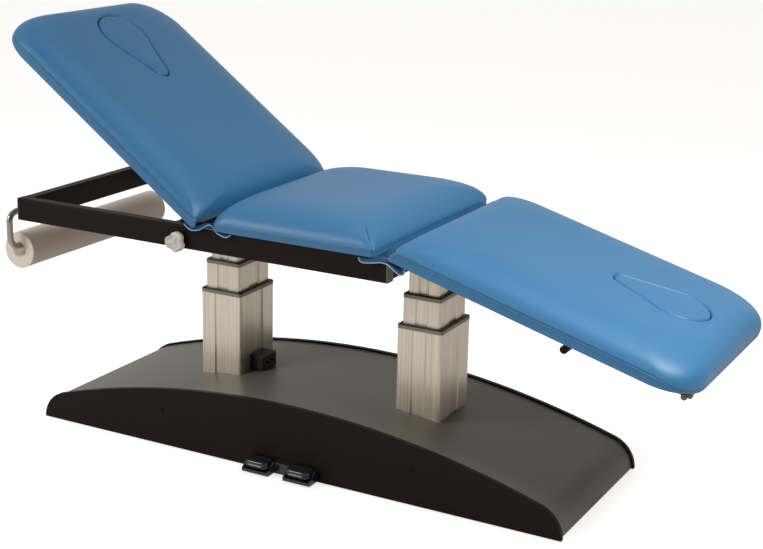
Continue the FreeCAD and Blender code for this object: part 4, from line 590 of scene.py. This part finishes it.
def new_group(name, inputs, outputs):
    """An empty shader group with named sockets, its input node's sockets and its output node."""
    group = bpy.data.node_groups.new(name, "ShaderNodeTree")
    for label, kind, default in inputs:
        socket = group.interface.new_socket(label, in_out="INPUT", socket_type=kind)
        socket.default_value = default
    for label, kind in outputs:
        group.interface.new_socket(label, in_out="OUTPUT", socket_type=kind)
    return group, group.nodes.new("NodeGroupInput").outputs, group.nodes.new("NodeGroupOutput")


FLOAT, COLOUR, VECTOR = "NodeSocketFloat", "NodeSocketColor", "NodeSocketVector"


def tone_group():
    """Slow change of a colour over a surface, darker and lighter by a small amount."""
    inputs = [("Color", COLOUR, (0.5, 0.5, 0.5, 1)), ("Scale", FLOAT, 4.0), ("Amount", FLOAT, 0.08)]
    group, take, give = new_group("surface_tone", inputs, [("Color", COLOUR), ("Mask", FLOAT)])
    cloud = add(group, "TexNoise", {"Vector": own_place(group), "Scale": take["Scale"],
                                    "Detail": 4.0, "Roughness": 0.55}).outputs["Fac"]
    centred = reckon(group, "SUBTRACT", cloud, 0.5)
    around_one = reckon(group, "ADD", reckon(group, "MULTIPLY", centred, take["Amount"]), 1.0)
    shade = add(group, "HueSaturation", {"Value": around_one, "Color": take["Color"]})
    fill(group, give, {"Color": shade.outputs["Color"], "Mask": cloud})
    return group


def grain_group():
    """Fine pebble grain of pressed vinyl, plastic or powder coat: cells with soft borders and a
    little noise. Height is for a bump, Mask for roughness."""
    group, take, give = new_group("fine_grain", [("Scale", FLOAT, 900.0), ("Softness", FLOAT, 0.5)],
                                  [("Height", FLOAT), ("Mask", FLOAT)])
    place = own_place(group)
    cells = add(group, "TexVoronoi", {"Vector": place, "Scale": take["Scale"], "Smoothness": 0.6},
                feature="SMOOTH_F1")
    wide = reckon(group, "MULTIPLY", take["Scale"], 0.31)
    cloud = add(group, "TexNoise", {"Vector": place, "Scale": wide, "Detail": 3.0}).outputs["Fac"]
    both = add(group, "Mix", {0: take["Softness"], 2: cells.outputs["Distance"], 3: cloud},
               data_type="FLOAT")
    fill(group, give, {"Height": both.outputs[0], "Mask": cloud})
    return group


def brush_group():
    """Fine lines drawn out along one direction of the object: a noise squeezed across it."""
    group, take, give = new_group("brushed_lines", [("Stretch", VECTOR, (900.0, 900.0, 4.0))],
                                  [("Height", FLOAT), ("Mask", FLOAT)])
    squeezed = add(group, "VectorMath", {0: own_place(group), 1: take["Stretch"]},
                   operation="MULTIPLY")
    lines = add(group, "TexNoise", {"Vector": squeezed.outputs[0], "Scale": 1.0, "Detail": 5.0,
                                    "Roughness": 0.65}).outputs["Fac"]
    fill(group, give, {"Height": lines, "Mask": lines})
    return group


TONE, GRAIN, BRUSH = tone_group(), grain_group(), brush_group()


def new_material(name):
    material = bpy.data.materials.new(name)
    material.use_nodes = True
    tree = material.node_tree
    return material, tree, tree.nodes["Principled BSDF"]


def plain_finish(name, colour, rough, grain, depth=0.00004, tone=0.10, tone_scale=5.0, soft=0.5, more=None):
    """Paint, plastic or vinyl: a slowly changing colour, a fine grain, a roughness that varies, and
    more for the shader's other sockets."""
    material, tree, shader = new_material(name)
    shade = use(tree, TONE, Color=colour + (1.0,), Scale=tone_scale, Amount=tone).outputs["Color"]
    fine = use(tree, GRAIN, Scale=grain, Softness=soft).outputs
    fill(tree, shader, {"Base Color": shade, "Roughness": spread(tree, fine["Mask"], *rough),
                        "Normal": bump(tree, fine["Height"], depth), **(more or {})})
    return material


def brushed_finish(name, colour, rough, stretch, depth=0.00001, tone=0.06, streak=0.0, metallic=1.0):
    """Metal with fine drawn lines, which also show in its colour as far as streak says."""
    material, tree, shader = new_material(name)
    shade = use(tree, TONE, Color=colour + (1.0,), Scale=3.0, Amount=tone).outputs["Color"]
    lines = use(tree, BRUSH, Stretch=stretch).outputs
    drawn = add(tree, "HueSaturation", {"Value": spread(tree, lines["Mask"], 1 - streak, 1 + streak),
                                        "Color": shade}).outputs["Color"]
    fill(tree, shader, {"Base Color": drawn, "Roughness": spread(tree, lines["Mask"], *rough),
                        "Metallic": metallic, "Normal": bump(tree, lines["Height"], depth)})
    return material


def plywood_finish():
    """Face veneer: drawn-out growth lines along the board and small pores."""
    material, tree, shader = new_material("plywood_face")
    lines = use(tree, BRUSH, Stretch=(3.0, 46.0, 46.0)).outputs["Mask"]
    pores = use(tree, BRUSH, Stretch=(60.0, 900.0, 900.0)).outputs
    colour = blend_colours(tree, lines, (0.36, 0.235, 0.13, 1), (0.62, 0.46, 0.29, 1))
    fill(tree, shader, {"Base Color": colour, "Roughness": spread(tree, pores["Mask"], 0.5, 0.75),
                        "Normal": bump(tree, pores["Height"], 0.00015)})
    return material


def collar_finish_painted_top_shade():
    """Collar plastic: grey at its sides, and near black on its top from painted shade."""
    material = plain_finish("collar_plastic", (0.27, 0.26, 0.215), (0.42, 0.55), 1800.0)
    tree = material.node_tree
    shader = tree.nodes["Principled BSDF"]
    side = shader.inputs["Base Color"].links[0].from_socket
    # Painted shade: faces that look up are darkened to near black, for the shadow line at the collar's top.
    facing = add(tree, "NewGeometry").outputs["Normal"]
    height = add(tree, "SeparateXYZ", {"Vector": facing}).outputs["Z"]
    top = spread(tree, height, 0.0, 1.0, 0.35, 0.6)
    fill(tree, shader, {"Base Color": blend_colours(tree, top, side, (0.014, 0.011, 0.009, 1))})
    return material


# Finishes by material slot, and some of single pieces or solids. After colour and roughness come
# the grain's scale and depth, how much and how fast the colour changes and the grain's softness, or
# the drawn lines' stretch and depth, how much the colour changes, its streaks and the metallic share.
FINISH = {
    "vinyl": plain_finish("blue_vinyl", (0.036, 0.178, 0.376), (0.38, 0.50), 700.0, 0.00006, 0.05, 2.0, 0.35,
                          {"Coat Weight": 0.06, "Coat Roughness": 0.4}),
    # The strips' blue is darkened by painted shade, for the crevices under the pads.
    "strip": plain_finish("strip_blue_painted_shade", (0.011, 0.055, 0.145), (0.42, 0.55), 700.0, 0.00006),
    "thread": plain_finish("blue_thread", (0.012, 0.070, 0.170), (0.55, 0.7), 2500.0, 0.0001),
    # Painted highlight: a lighter blue for the strips' cut edges and hems, where their rims catch the light.
    "cut_edge": plain_finish("strip_edge_painted_highlight", (0.32, 0.48, 0.70), (0.5, 0.6), 2500.0),
    "black_steel": plain_finish("black_brown_coat", (0.0105, 0.0052, 0.0044), (0.40, 0.52), 1600.0, 0.00003,
                                0.12, more={"Specular IOR Level": 0.12}),
    "cover_grey": plain_finish("warm_grey_coat", (0.172, 0.156, 0.136), (0.36, 0.46), 1600.0, 0.00003,
                               0.06, 2.0, more={"Specular IOR Level": 0.35}),
    "black_plastic": plain_finish("matt_black_plastic", (0.018, 0.018, 0.019), (0.45, 0.6), 1500.0),
    "pedal_plastic": plain_finish("gloss_black_plastic", (0.010, 0.010, 0.011), (0.10, 0.18), 900.0, 0.00001,
                                  more={"Coat Weight": 0.3, "Coat Roughness": 0.08}),
    "knob_plastic": plain_finish("light_grey_plastic", (0.66, 0.64, 0.575), (0.38, 0.5), 1400.0),
    "motor_paint": plain_finish("motor_paint", (0.06, 0.06, 0.065), (0.5, 0.62), 1300.0),
    "paper": plain_finish("crepe_paper", (0.88, 0.80, 0.71), (0.85, 0.95), 520.0, 0.00022, 0.05, 20.0, 0.6),
    "column_metal": brushed_finish("brushed_aluminium", (0.74, 0.675, 0.570), (0.26, 0.46),
                                   (620.0, 620.0, 2.0), 0.00003, 0.08, 0.62, 0.60),
    "bright_steel": brushed_finish("bright_steel", (0.60, 0.59, 0.57), (0.2, 0.38), (500.0, 500.0, 500.0)),
    "roll_bar_steel": brushed_finish("satin_bar_steel", (0.36, 0.345, 0.30), (0.26, 0.42),
                                     (500.0, 30.0, 500.0)),
    "foot_bar": brushed_finish("dark_bar_steel", (0.15, 0.13, 0.11), (0.3, 0.45), (500.0, 500.0, 500.0)),
    "nut_bronze": brushed_finish("nut_bronze", (0.55, 0.40, 0.20), (0.25, 0.4), (60.0, 60.0, 900.0)),
    "plywood": plywood_finish(),
    "collar_plastic": collar_finish_painted_top_shade(),
    # Painted light: the end caps' grey stands in for the black beams' end faces lit from the foot end.
    "beam_end_caps": plain_finish("end_cap_painted_light_grey", (0.125, 0.120, 0.095), (0.4, 0.55), 1500.0),
}
FINISH["side_plate_screws"] = FINISH["black_steel"]


def finish_solids():
    """Every solid that stays visible gets the finish of its material slot, or one of its own."""
    for entry in frame["record"]["subparts"]:
        solid = frame["nodes"][entry["node"]]
        solid.data.materials.clear()
        solid.data.materials.append(FINISH.get(entry["node"], FINISH[entry["material_slot"]]))


def make_pads():
    """Seat, backrest and leg section with their plugs, darts and stitching."""
    pads = (("seat", "lift_frame", SEAT, None, seat_place),
            ("backrest", "backrest", BACKREST, (BACKREST_PLUG_END, 1),
             section_place("backrest_tilt", BACKREST_UNDERSIDE)),
            ("leg", "leg", LEG, (LEG_PLUG_END, -1), section_place("leg_tilt", LEG_UNDERSIDE)))
    for seed, (name, body, plan, hole, place) in enumerate(pads, 11):
        points = pad_shell(plan, hole, seed)
        cushion = surface(f"{name}_upholstery", place(points), closed=bool(hole), caps=not hole)
        dress(cushion, body, "vinyl", f"{name}_cushion")
        if not hole:
            for end, column in SEAT_CORNERS.items():
                line = points[len(UNDER_ROWS):, column]
                line = line[(line[:, 2] > DART_HEIGHTS[0]) & (line[:, 2] < DART_HEIGHTS[1])]
                dart = tube(f"seat_{end}_dart", place(line), DART_RADIUS, None, 8)
                dress(dart, body, "vinyl", finish="thread")
            continue
        dress(stitches(f"{name}_stitching", plan, place), body, "vinyl", finish="thread")
        plug = surface(f"{name}_face_plug", place(plug_shell(plan, *hole)))
        dress(plug, f"{name}_plug", "vinyl", f"{name}_plug")


# Strips: thickness, radius of the hems and belly of the loose ends. Their bands lie this far over
# the frame, wander by so much and stop this far short of the beams' outer faces.
SHEET_THICKNESS = 0.0016
HEM_RADIUS = 0.0011
BELLY_MM = 1.6
BAND_LOW = 0.0012
BAND_WANDER = 0.0006
BAND_SHORT = 0.0006


def smooth_line(points, count):
    """A line through points, resampled evenly and eased a few times so that its bends are round."""
    points = np.array(points, float)
    length = length_along(points)
    even = np.linspace(0, length[-1], count)
    line = np.stack([np.interp(even, length, points[:, k]) for k in range(points.shape[1])], -1)
    for _ in range(6):
        line[1:-1] = line[1:-1] * 0.5 + (line[:-2] + line[2:]) * 0.25
    return line


def sheet_solid(name, grid):
    """A thin closed sheet about a grid of points: the grid moved half its thickness to either side
    along its normals, and a cut edge round it in a lighter blue, which is a painted highlight."""
    rows, columns = grid.shape[:2]
    normal = np.cross(np.gradient(grid, axis=1), np.gradient(grid, axis=0))
    normal /= np.maximum(np.linalg.norm(normal, axis=2, keepdims=True), 1e-9)
    both = np.stack([grid + normal * SHEET_THICKNESS / 2, grid - normal * SHEET_THICKNESS / 2])
    faces = grid_faces(rows, columns, False, False)
    under = faces[:, ::-1] + rows * columns
    index = np.arange(rows * columns).reshape(rows, columns)
    rim = np.concatenate([index[0], index[1:, -1], index[-1, -2::-1], index[-2:0:-1, 0]])
    after = np.roll(rim, -1)
    edge = np.stack([rim, after, after + rows * columns, rim + rows * columns], -1)
    sheet = new_piece(name, both, np.concatenate([faces, under, edge]).tolist())
    cut = np.arange(len(sheet.data.polygons)) >= 2 * len(faces)
    sheet.data.materials.append(FINISH["strip"])
    sheet.data.materials.append(FINISH["cut_edge"])
    sheet.data.polygons.foreach_set("material_index", cut.astype(int))
    sheet.data.polygons.foreach_set("use_smooth", ~cut)
    return sheet


# Cut edges and root lines of the strips' hanging ends, from under one pad to under the next, in
# millimetres: along, how far outside the beam's outer face, and height over the frame's top.
BACK_EDGE = ((-233, 13, 7.5), (-229, 14, 4.6), (-223, 14, -0.3), (-215, 14, -4.1), (-207, 14, -4.7),
             (-195, 14, -2.5), (-186, 14, 0.8), (-177, 13, 7.0), (-168, 11, 13.0), (-162, 8, 15.0),
             (-156, 4, 10.0), (-151, 4, 2.0), (-145, 9, -1.5), (-137, 14, -2.5), (-129, 14, -4.8),
             (-120, 14, -8.3), (-112, 14, -8.9), (-105, 14, -5.4), (-101, 12, -1.2))
BACK_ROOT = ((-231, -3, 7.0), (-222, -2, 3.5), (-215, -2, 1.2), (-205, -2, 3.5), (-195, -2, 8.0),
             (-185, -2, 11.5), (-175, -2, 14.0), (-168, -2, 14.5), (-162, -2, 10.0), (-159.5, 2, 0.5),
             (-150, 2.5, -1.2), (-130, 2.5, -1.2), (-105, 2.5, -1.2))
LEG_EDGE = ((244, 12, -3.2), (247, 14, -10.4), (257, 14, -13.5), (275, 14, -11.6), (300, 14, -6.3),
            (314, 14, -6.5), (324, 14, -11), (334, 14, -18.7), (346, 14, -26), (354, 13, -29.4),
            (360, 11, -26), (361, 8, -19), (357, 6, -14))
LEG_ROOT = ((246, 2.5, -1.2), (270, 2.5, -1.2), (281, 1.5, 0.2), (288, -2, 1.2), (300, -2, 1.2),
            (312, 2.5, -1.0), (322, 2.5, -3.5), (332, 1, -9), (342, 0, -14), (350, 0, -16), (355, 0, -14))

# How the strips lie on the frame, from one edge to the other: along, and height over its top.
BACK_LIE = ((-0.1970, 0.0012), (-0.1900, 0.0024), (-0.1790, 0.0042), (-0.1680, 0.0032), (-0.1592, 0.0012))
LEG_LIE = ((0.2655, 0.0012), (0.2800, 0.0014), (0.2935, 0.0018), (0.2990, 0.0052), (0.3018, 0.0110),
           (0.3044, 0.0160), (0.3080, 0.0187), (0.3113, 0.0192), (0.3150, 0.0182), (0.3178, 0.0160),
           (0.3192, 0.0110), (0.3198, 0.0045))


def band_grid(lie, face, top):
    """The part of a strip between the pads: the line that it lies along, carried across the frame.
    It wanders a little and comes down over the beams."""
    across = (face - BAND_SHORT) * np.sin(np.linspace(-QUARTER_TURN, QUARTER_TURN, 120))
    line = smooth_line(lie, 30)
    arch = np.sin(math.pi * np.linspace(0, 1, 30))[:, None]
    wander = arch * BAND_WANDER * ripple(across, 21, 6, 0.3)[None, :]
    stands = 1 - smooth_step((np.abs(across) - 0.278) / 0.018)
    height = BAND_LOW + (line[:, 1:] - BAND_LOW) * stands[None, :] + wander
    return np.stack([line[:, :1] + 0 * wander, across[None, :] + 0 * wander, top + height], -1)


def fold_grid(edge, root, sign, face, top):
    """A strip's loose end: a ruled sheet from the root line to the cut edge that bellies out a
    little, outside the beam."""
    outer, inner = smooth_line(edge, 70), smooth_line(root, 70)
    rise = np.linspace(0, 1, 9)[:, None, None]
    line = inner + (outer - inner) * rise
    line[..., 1] += BELLY_MM * np.sin(math.pi * rise[..., 0])
    return np.stack([line[..., 0] / 1000, sign * (face + line[..., 1] / 1000), top + line[..., 2] / 1000], -1)


def make_strips():
    """Vinyl strips over the two hinge gaps, each a band that lies on the frame and two loose ends
    with hems, which hang outside the beams."""
    beam_low, beam_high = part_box("near_beam")
    face, top = -beam_low.y, beam_high.z
    for name, edge, root, lie, bodies, bend in (
            ("back", BACK_EDGE, BACK_ROOT, BACK_LIE, ("backrest", "lift_frame"), (-0.207, -0.172)),
            ("leg", LEG_EDGE, LEG_ROOT, LEG_LIE, ("lift_frame", "leg"), (0.300, 0.334))):
        grid = band_grid(lie, face, top)
        band = sheet_solid(f"{name}_strip", grid)
        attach(band, "lift_frame")
        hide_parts(f"{name}_gap_strip")
        if name == "back":
            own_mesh(band)
        for side, sign in (("near", -1), ("far", 1)):
            grid = fold_grid(edge, root, sign, face, top)
            flap = sheet_solid(f"{name}_strip_{side}_end", grid)
            hem = tube(f"{name}_strip_{side}_hem", grid[-1], HEM_RADIUS, None, 10)
            # Painted highlight: the hem takes the lighter edge blue.
            hem.data.materials.append(FINISH["cut_edge"])
            for part in (flap, hem):
                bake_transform(part)


def unit(vector):
    return vector / np.linalg.norm(vector)


def bar_path(stations, bends):
    """Straight runs between stations, joined by arcs of the bends' radii that touch both."""
    path = [stations[0]]
    for before, corner, after, bend in zip(stations, stations[1:], stations[2:], bends):
        one, two = unit(before - corner), unit(after - corner)
        half = math.acos(float(np.clip(one @ two, -1, 1))) / 2
        centre = corner + (one + two) / np.linalg.norm(one + two) * bend / math.sin(half)
        start, stop = (corner + way * bend / math.tan(half) for way in (one, two))
        sweep = math.pi - 2 * half
        for share in np.linspace(0, 1, 13):
            spoke = (math.sin((1 - share) * sweep) * (start - centre)
                     + math.sin(share * sweep) * (stop - centre))
            path.append(centre + spoke / math.sin(sweep))
    return path + [stations[-1]]


def tube(name, stations, radius, bends, steps=24):
    """A round bar with rounded ends: a ring carried along bar_path(), or along the stations as they
    are where there are no bends."""
    path = np.array(stations, float)
    if bends:
        path = np.array(bar_path(path, bends))
    direction = np.gradient(path, axis=0)
    direction /= np.linalg.norm(direction, axis=1, keepdims=True)
    side = np.cross(direction[0], (0.3, 0.2, 1.0))
    angle = np.linspace(0, FULL_TURN, steps, endpoint=False)[:, None]
    circles = []
    for along in direction:
        side = unit(side - along * (side @ along))
        circles.append(np.cos(angle) * side + np.sin(angle) * np.cross(along, side))

    def end(which, inward):
        """Rows from the middle of an end face out to the full ring behind its rounded edge."""
        spot, circle = path[which], circles[which]
        return [spot + 0 * circle, spot + circle * radius * 0.7,
                spot + circle * radius * 0.93 + inward * 0.0006, spot + circle * radius + inward * 0.0016]

    rows = [spot + circle * radius for spot, circle in zip(path[1:-1], circles[1:-1])]
    rows = end(0, direction[0]) + rows + end(-1, -direction[-1])[::-1]
    return surface(name, np.stack(rows))


# The bar at the foot end: its height in the leg section's frame, its stations along and across, its
# thickness and bends, and where its clamps are along and across the section.
HANDLE_Z = -0.0165
HANDLE_STATIONS = ((0.7229, -0.271), (0.7229, -0.215), (0.7349, -0.165), (0.7349, 0.165), (0.7229, 0.215),
                   (0.7229, 0.271))
HANDLE_RADIUS = 0.007
HANDLE_BEND = 0.04
CLAMP_ENDS = (0.7029, 0.7349)
CLAMP_MIDDLE = 0.240
CLAMP_HALF_WIDTH = 0.009


def make_handle():
    """The bent bar at the foot end with its two clamps."""
    place = section_place("leg_tilt")
    stations = place(np.array([(x, y, HANDLE_Z) for x, y in HANDLE_STATIONS]))
    bar = tube("foot_bar", stations, HANDLE_RADIUS, [HANDLE_BEND] * 4)
    dress(bar, "leg", "bright_steel", "foot_handle", finish="foot_bar")
    for side, middle in (("near", -CLAMP_MIDDLE), ("far", CLAMP_MIDDLE)):
        low = (CLAMP_ENDS[0], middle - CLAMP_HALF_WIDTH, HANDLE_Z - HANDLE_RADIUS - 0.0002)
        high = (CLAMP_ENDS[1], middle + CLAMP_HALF_WIDTH, LEG_UNDERSIDE - 0.0002)
        clamp = rounded_block(f"{side}_bar_clamp", low, high, 9, 0.0012, place=place)
        dress(clamp, "leg", "bright_steel", finish="foot_bar")


KNOB_LOBES = 3
KNOB_TURN = math.radians(67)
KNOB_RADIUS = 0.0250
KNOB_NOTCH = 0.0062
KNOB_RIDGE = 0.0022
KNOB_SUNK = 0.0030
KNOB_BOSS_RADIUS = 0.010
KNOB_BOSS_LENGTH = 0.005
KNOB_FACE_ROUND = 0.0045
KNOB_REAR_ROUND = KNOB_FACE_ROUND * 0.6


def make_knob():
    """Star knob: rings of r = R - notch ((1 - c) / 2)^3, with c = cos(3 a), about its axis,
    rounded at both faces, with a round boss behind. Its front is sunk between ridges that run from
    the middle out along the lobes."""
    low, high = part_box("star_knob")
    back, front = high.y, low.y
    axis = joint["knob_turn"]["pos_m"]
    angle = np.linspace(0, FULL_TURN, 96, endpoint=False)
    lobe = np.cos(KNOB_LOBES * (angle - KNOB_TURN))
    star = KNOB_RADIUS - KNOB_NOTCH * ((1 - lobe) / 2) ** 3
    sunk = KNOB_SUNK - KNOB_RIDGE * smooth_step(lobe)
    body_back = back - KNOB_BOSS_LENGTH
    bend = np.linspace(0, QUARTER_TURN, 7)
    boss = [(0, back), (KNOB_BOSS_RADIUS - 0.0005, back), (KNOB_BOSS_RADIUS, back - 0.0006),
            (KNOB_BOSS_RADIUS, body_back)]
    rear = [(star - KNOB_REAR_ROUND * (1 - math.sin(a)), body_back - KNOB_REAR_ROUND * (1 - math.cos(a)))
            for a in bend]
    fore = [(star - KNOB_FACE_ROUND * (1 - math.cos(a)), front + 0.0014 + KNOB_FACE_ROUND * (1 - math.sin(a)))
            for a in bend]
    face = [(star * 0.76, front + 0.0012 + sunk * 0.15), (star * 0.70, front + 0.0009 + sunk),
            (star * 0.5, front + 0.0006 + sunk), (star * 0.3, front + 0.0003 + sunk),
            (0.0045, front + 0.0003 + 0.5 * sunk), (0, front + 0.0010)]
    rows = [np.stack([axis[0] + r * np.cos(angle), y + 0 * angle, axis[2] + r * np.sin(angle)], -1)
            for r, y in boss + rear + fore + face]
    dress(surface("lock_knob", np.stack(rows)), "star_knob", "knob_plastic", "star_knob")


BLOCK_CROWN = 0.0006
GROOVE_WIDTH = 0.0022


def rounded_block(name, low, high, power, edge, groove=0.0, place=None):
    """A block with soft edges: outlines |x/a|^n + |y/b|^n = 1, drawn in along a quarter circle at
    its top and bottom, with a groove round its middle and a slight crown."""
    middle, half = (np.array(high) + np.array(low)) / 2, (np.array(high) - np.array(low)) / 2
    angle = np.linspace(0, FULL_TURN, 96, endpoint=False)
    shape = np.sign(directions(angle)) * np.abs(directions(angle)) ** (2 / power)
    bend = np.linspace(0, QUARTER_TURN, 8)
    wall = half[2] - edge
    wall_heights = np.linspace(-wall, wall, 15)[1:-1]
    heights = np.concatenate([-wall - edge * np.cos(bend), wall_heights, wall + edge * np.sin(bend)])
    insets = np.concatenate([edge * (1 - np.sin(bend)), groove * bell(wall_heights, GROOVE_WIDTH),
                             edge * (1 - np.cos(bend))])
    side = [lifted(shape * (half[:2] - inset), height) for inset, height in zip(insets, heights)]
    shares = (0.8, 0.45, 0)
    under = [side[0] * (share, share, 1) for share in shares]
    over = [side[-1 - step] * (share, share, 1) + (0, 0, BLOCK_CROWN * (1 - share))
            for step, share in enumerate(shares)]
    points = np.stack(under[::-1] + side + over) + middle
    return surface(name, place(points) if place else points)


def make_pedals():
    """The two rocking pedals, moulded with a groove round them."""
    for name in ("up_pedal", "down_pedal"):
        pedal = rounded_block(f"{name}_shell", *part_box(name), 4.5, 0.0055, 0.0016)
        dress(pedal, name, "pedal_plastic", name)


PAPER_STEP = 0.0005
PAPER_BORE = 0.021
CORE_RADIUS = PAPER_BORE + 0.0022
FREE_EDGE = math.radians(205)


def make_paper_roll():
    """Wound paper: a spiral r = R - step a / 2 pi for its outside, so that the free edge shows as a
    line, flat ends that undulate a little where turns stand proud, and a bore."""
    low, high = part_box("paper_roll")
    axis_x, axis_z = (low.x + high.x) / 2, (low.z + high.z) / 2
    turn = np.linspace(0, FULL_TURN, 145)
    skin = (high.z - low.z) / 2 - PAPER_STEP * turn / FULL_TURN
    rows = []
    for end, sign in ((low.y, 1), (high.y, -1)):
        outward = [(PAPER_BORE, end + sign * 0.0002)]
        outward += [(CORE_RADIUS + (skin - CORE_RADIUS) * share,
                     end + sign * (0.0006 + 0.0005 * ripple(share * 0.3 + turn * 0.002, 5, 6, 0.16)))
                    for share in np.linspace(0, 1, 16)]
        outward.append((skin, end + sign * 0.0016))
        rows += outward[::sign]
        if sign > 0:
            rows += [(skin - 0.00025 * (1 + ripple(turn * 0.05 + y, 3, 5, 0.2)), y)
                     for y in np.linspace(low.y + 0.01, high.y - 0.01, 60)]
    points = np.stack([np.stack([axis_x + r * np.cos(turn + FREE_EDGE), y + 0 * turn,
                                 axis_z + r * np.sin(turn + FREE_EDGE)], -1) for r, y in rows])
    dress(surface("paper_winding", points, closed=True, weld=1e-6), "paper_roll", "paper", "paper_roll")


FLOOR_HALF = 30.0
LAMP_COLOUR = (1.0, 0.97, 0.93)
# Lamps: place, what it is aimed at, size and power in watts.
LAMPS = {"key_light": ((-3.0, -4.0, 3.0), (0.1, 0, 0.5), 2.2, 118),
         "top_light": ((0.9, 0.3, 4.4), (0.3, 0, 0.5), 2.6, 20),
         "foot_light": ((1.75, -0.4, 1.9), (0.85, 0, 0.45), 0.9, 35)}


def make_floor():
    """Pale floor. What shines shows it white on the left and grey towards the right."""
    corners = [[(x, y, 0) for x in (-FLOOR_HALF, FLOOR_HALF)] for y in (-FLOOR_HALF, FLOOR_HALF)]
    floor = surface("studio_floor", np.array(corners, float), around=False, smooth=False)
    material, tree, shader = new_material("studio_floor_white")
    seen = add(tree, "LightPath").outputs
    split = add(tree, "SeparateXYZ", {"Vector": own_place(tree)})
    mirrored = spread(tree, split.outputs["X"], 0.40, 0.10, -1.2, 2.2, "SMOOTHSTEP")
    glow = reckon(tree, "MULTIPLY", mirrored, seen["Is Glossy Ray"])
    shown = reckon(tree, "MULTIPLY", seen["Is Camera Ray"], 0.74)
    fill(tree, shader, {"Base Color": (0.62, 0.61, 0.60, 1), "Roughness": 0.9, "Emission Color": (1, 1, 1, 1),
                        "Emission Strength": reckon(tree, "ADD", glow, shown)})
    floor.data.materials.append(material)


def make_surroundings():
    """A soft surrounding light, dimmer towards the foot end and with a pale wall low down behind,
    and a backdrop that is white to the eye."""
    world = bpy.data.worlds.new("studio")
    bpy.context.scene.world = world
    world.use_nodes = True
    tree = world.node_tree
    tree.nodes.clear()
    place = add(tree, "TexCoord").outputs["Generated"]
    toward = add(tree, "VectorMath", {0: place, 1: (0.80, -0.30, 0.15)}, operation="DOT_PRODUCT")
    dim = spread(tree, toward.outputs["Value"], 0.52, 0.05, -0.4, 0.8, "SMOOTHSTEP")
    split = add(tree, "SeparateXYZ", {"Vector": place}).outputs
    low_band = spread(tree, split["Z"], 1.0, 0.0, 0.25, 0.62, "SMOOTHSTEP")
    behind = spread(tree, split["Y"], 0.0, 0.16, 0.35, 0.9, "SMOOTHSTEP")
    strength = reckon(tree, "ADD", dim, reckon(tree, "MULTIPLY", low_band, behind))
    seen = add(tree, "LightPath").outputs["Is Camera Ray"]
    lit = add(tree, "Background", {"Color": (1.0, 0.975, 0.94, 1), "Strength": strength})
    shown = add(tree, "Background", {"Color": (1, 1, 1, 1), "Strength": 1.0})
    mixed = add(tree, "MixShader", {0: seen, 1: lit.outputs[0], 2: shown.outputs[0]})
    add(tree, "OutputWorld", {"Surface": mixed.outputs[0]})


def make_lamps():
    """Soft studio lamps: the main one from the front left, weaker ones above and at the foot end."""
    for name, (place, aim, size, power) in LAMPS.items():
        light = bpy.data.lights.new(name, "AREA")
        light.size = size
        light.energy = power
        light.color = LAMP_COLOUR
        lamp = new_object(name, light)
        lamp.location = place
        lamp.rotation_euler = (Vector(aim) - Vector(place)).to_track_quat("-Z", "Y").to_euler()


def make_camera():
    """A camera where the picture was taken from, turned by azimuth, elevation and roll."""
    right = np.array([math.cos(CAMERA_AZIMUTH), math.sin(CAMERA_AZIMUTH), 0])
    back = np.array([math.sin(CAMERA_AZIMUTH) * math.cos(CAMERA_ELEVATION),
                     -math.cos(CAMERA_AZIMUTH) * math.cos(CAMERA_ELEVATION), math.sin(CAMERA_ELEVATION)])
    up = np.cross(back, right)
    turned_right = math.cos(CAMERA_ROLL) * right + math.sin(CAMERA_ROLL) * up
    turned_up = -math.sin(CAMERA_ROLL) * right + math.cos(CAMERA_ROLL) * up
    lens = bpy.data.cameras.new("camera")
    lens.lens = CAMERA_LENS_MM
    lens.sensor_width = CAMERA_SENSOR_MM
    lens.sensor_fit = "HORIZONTAL"
    camera = new_object("camera", lens)
    turn = Matrix(np.stack([turned_right, turned_up, back], 1).tolist()).to_4x4()
    camera.matrix_world = Matrix.Translation(Vector(CAMERA_PLACE)) @ turn
    bpy.context.scene.camera = camera


bpy.context.scene.view_settings.view_transform = "Standard"
finish_solids()
make_pads()
make_strips()
make_handle()
make_knob()
make_pedals()
make_paper_roll()
make_floor()
make_surroundings()
make_lamps()
make_camera()
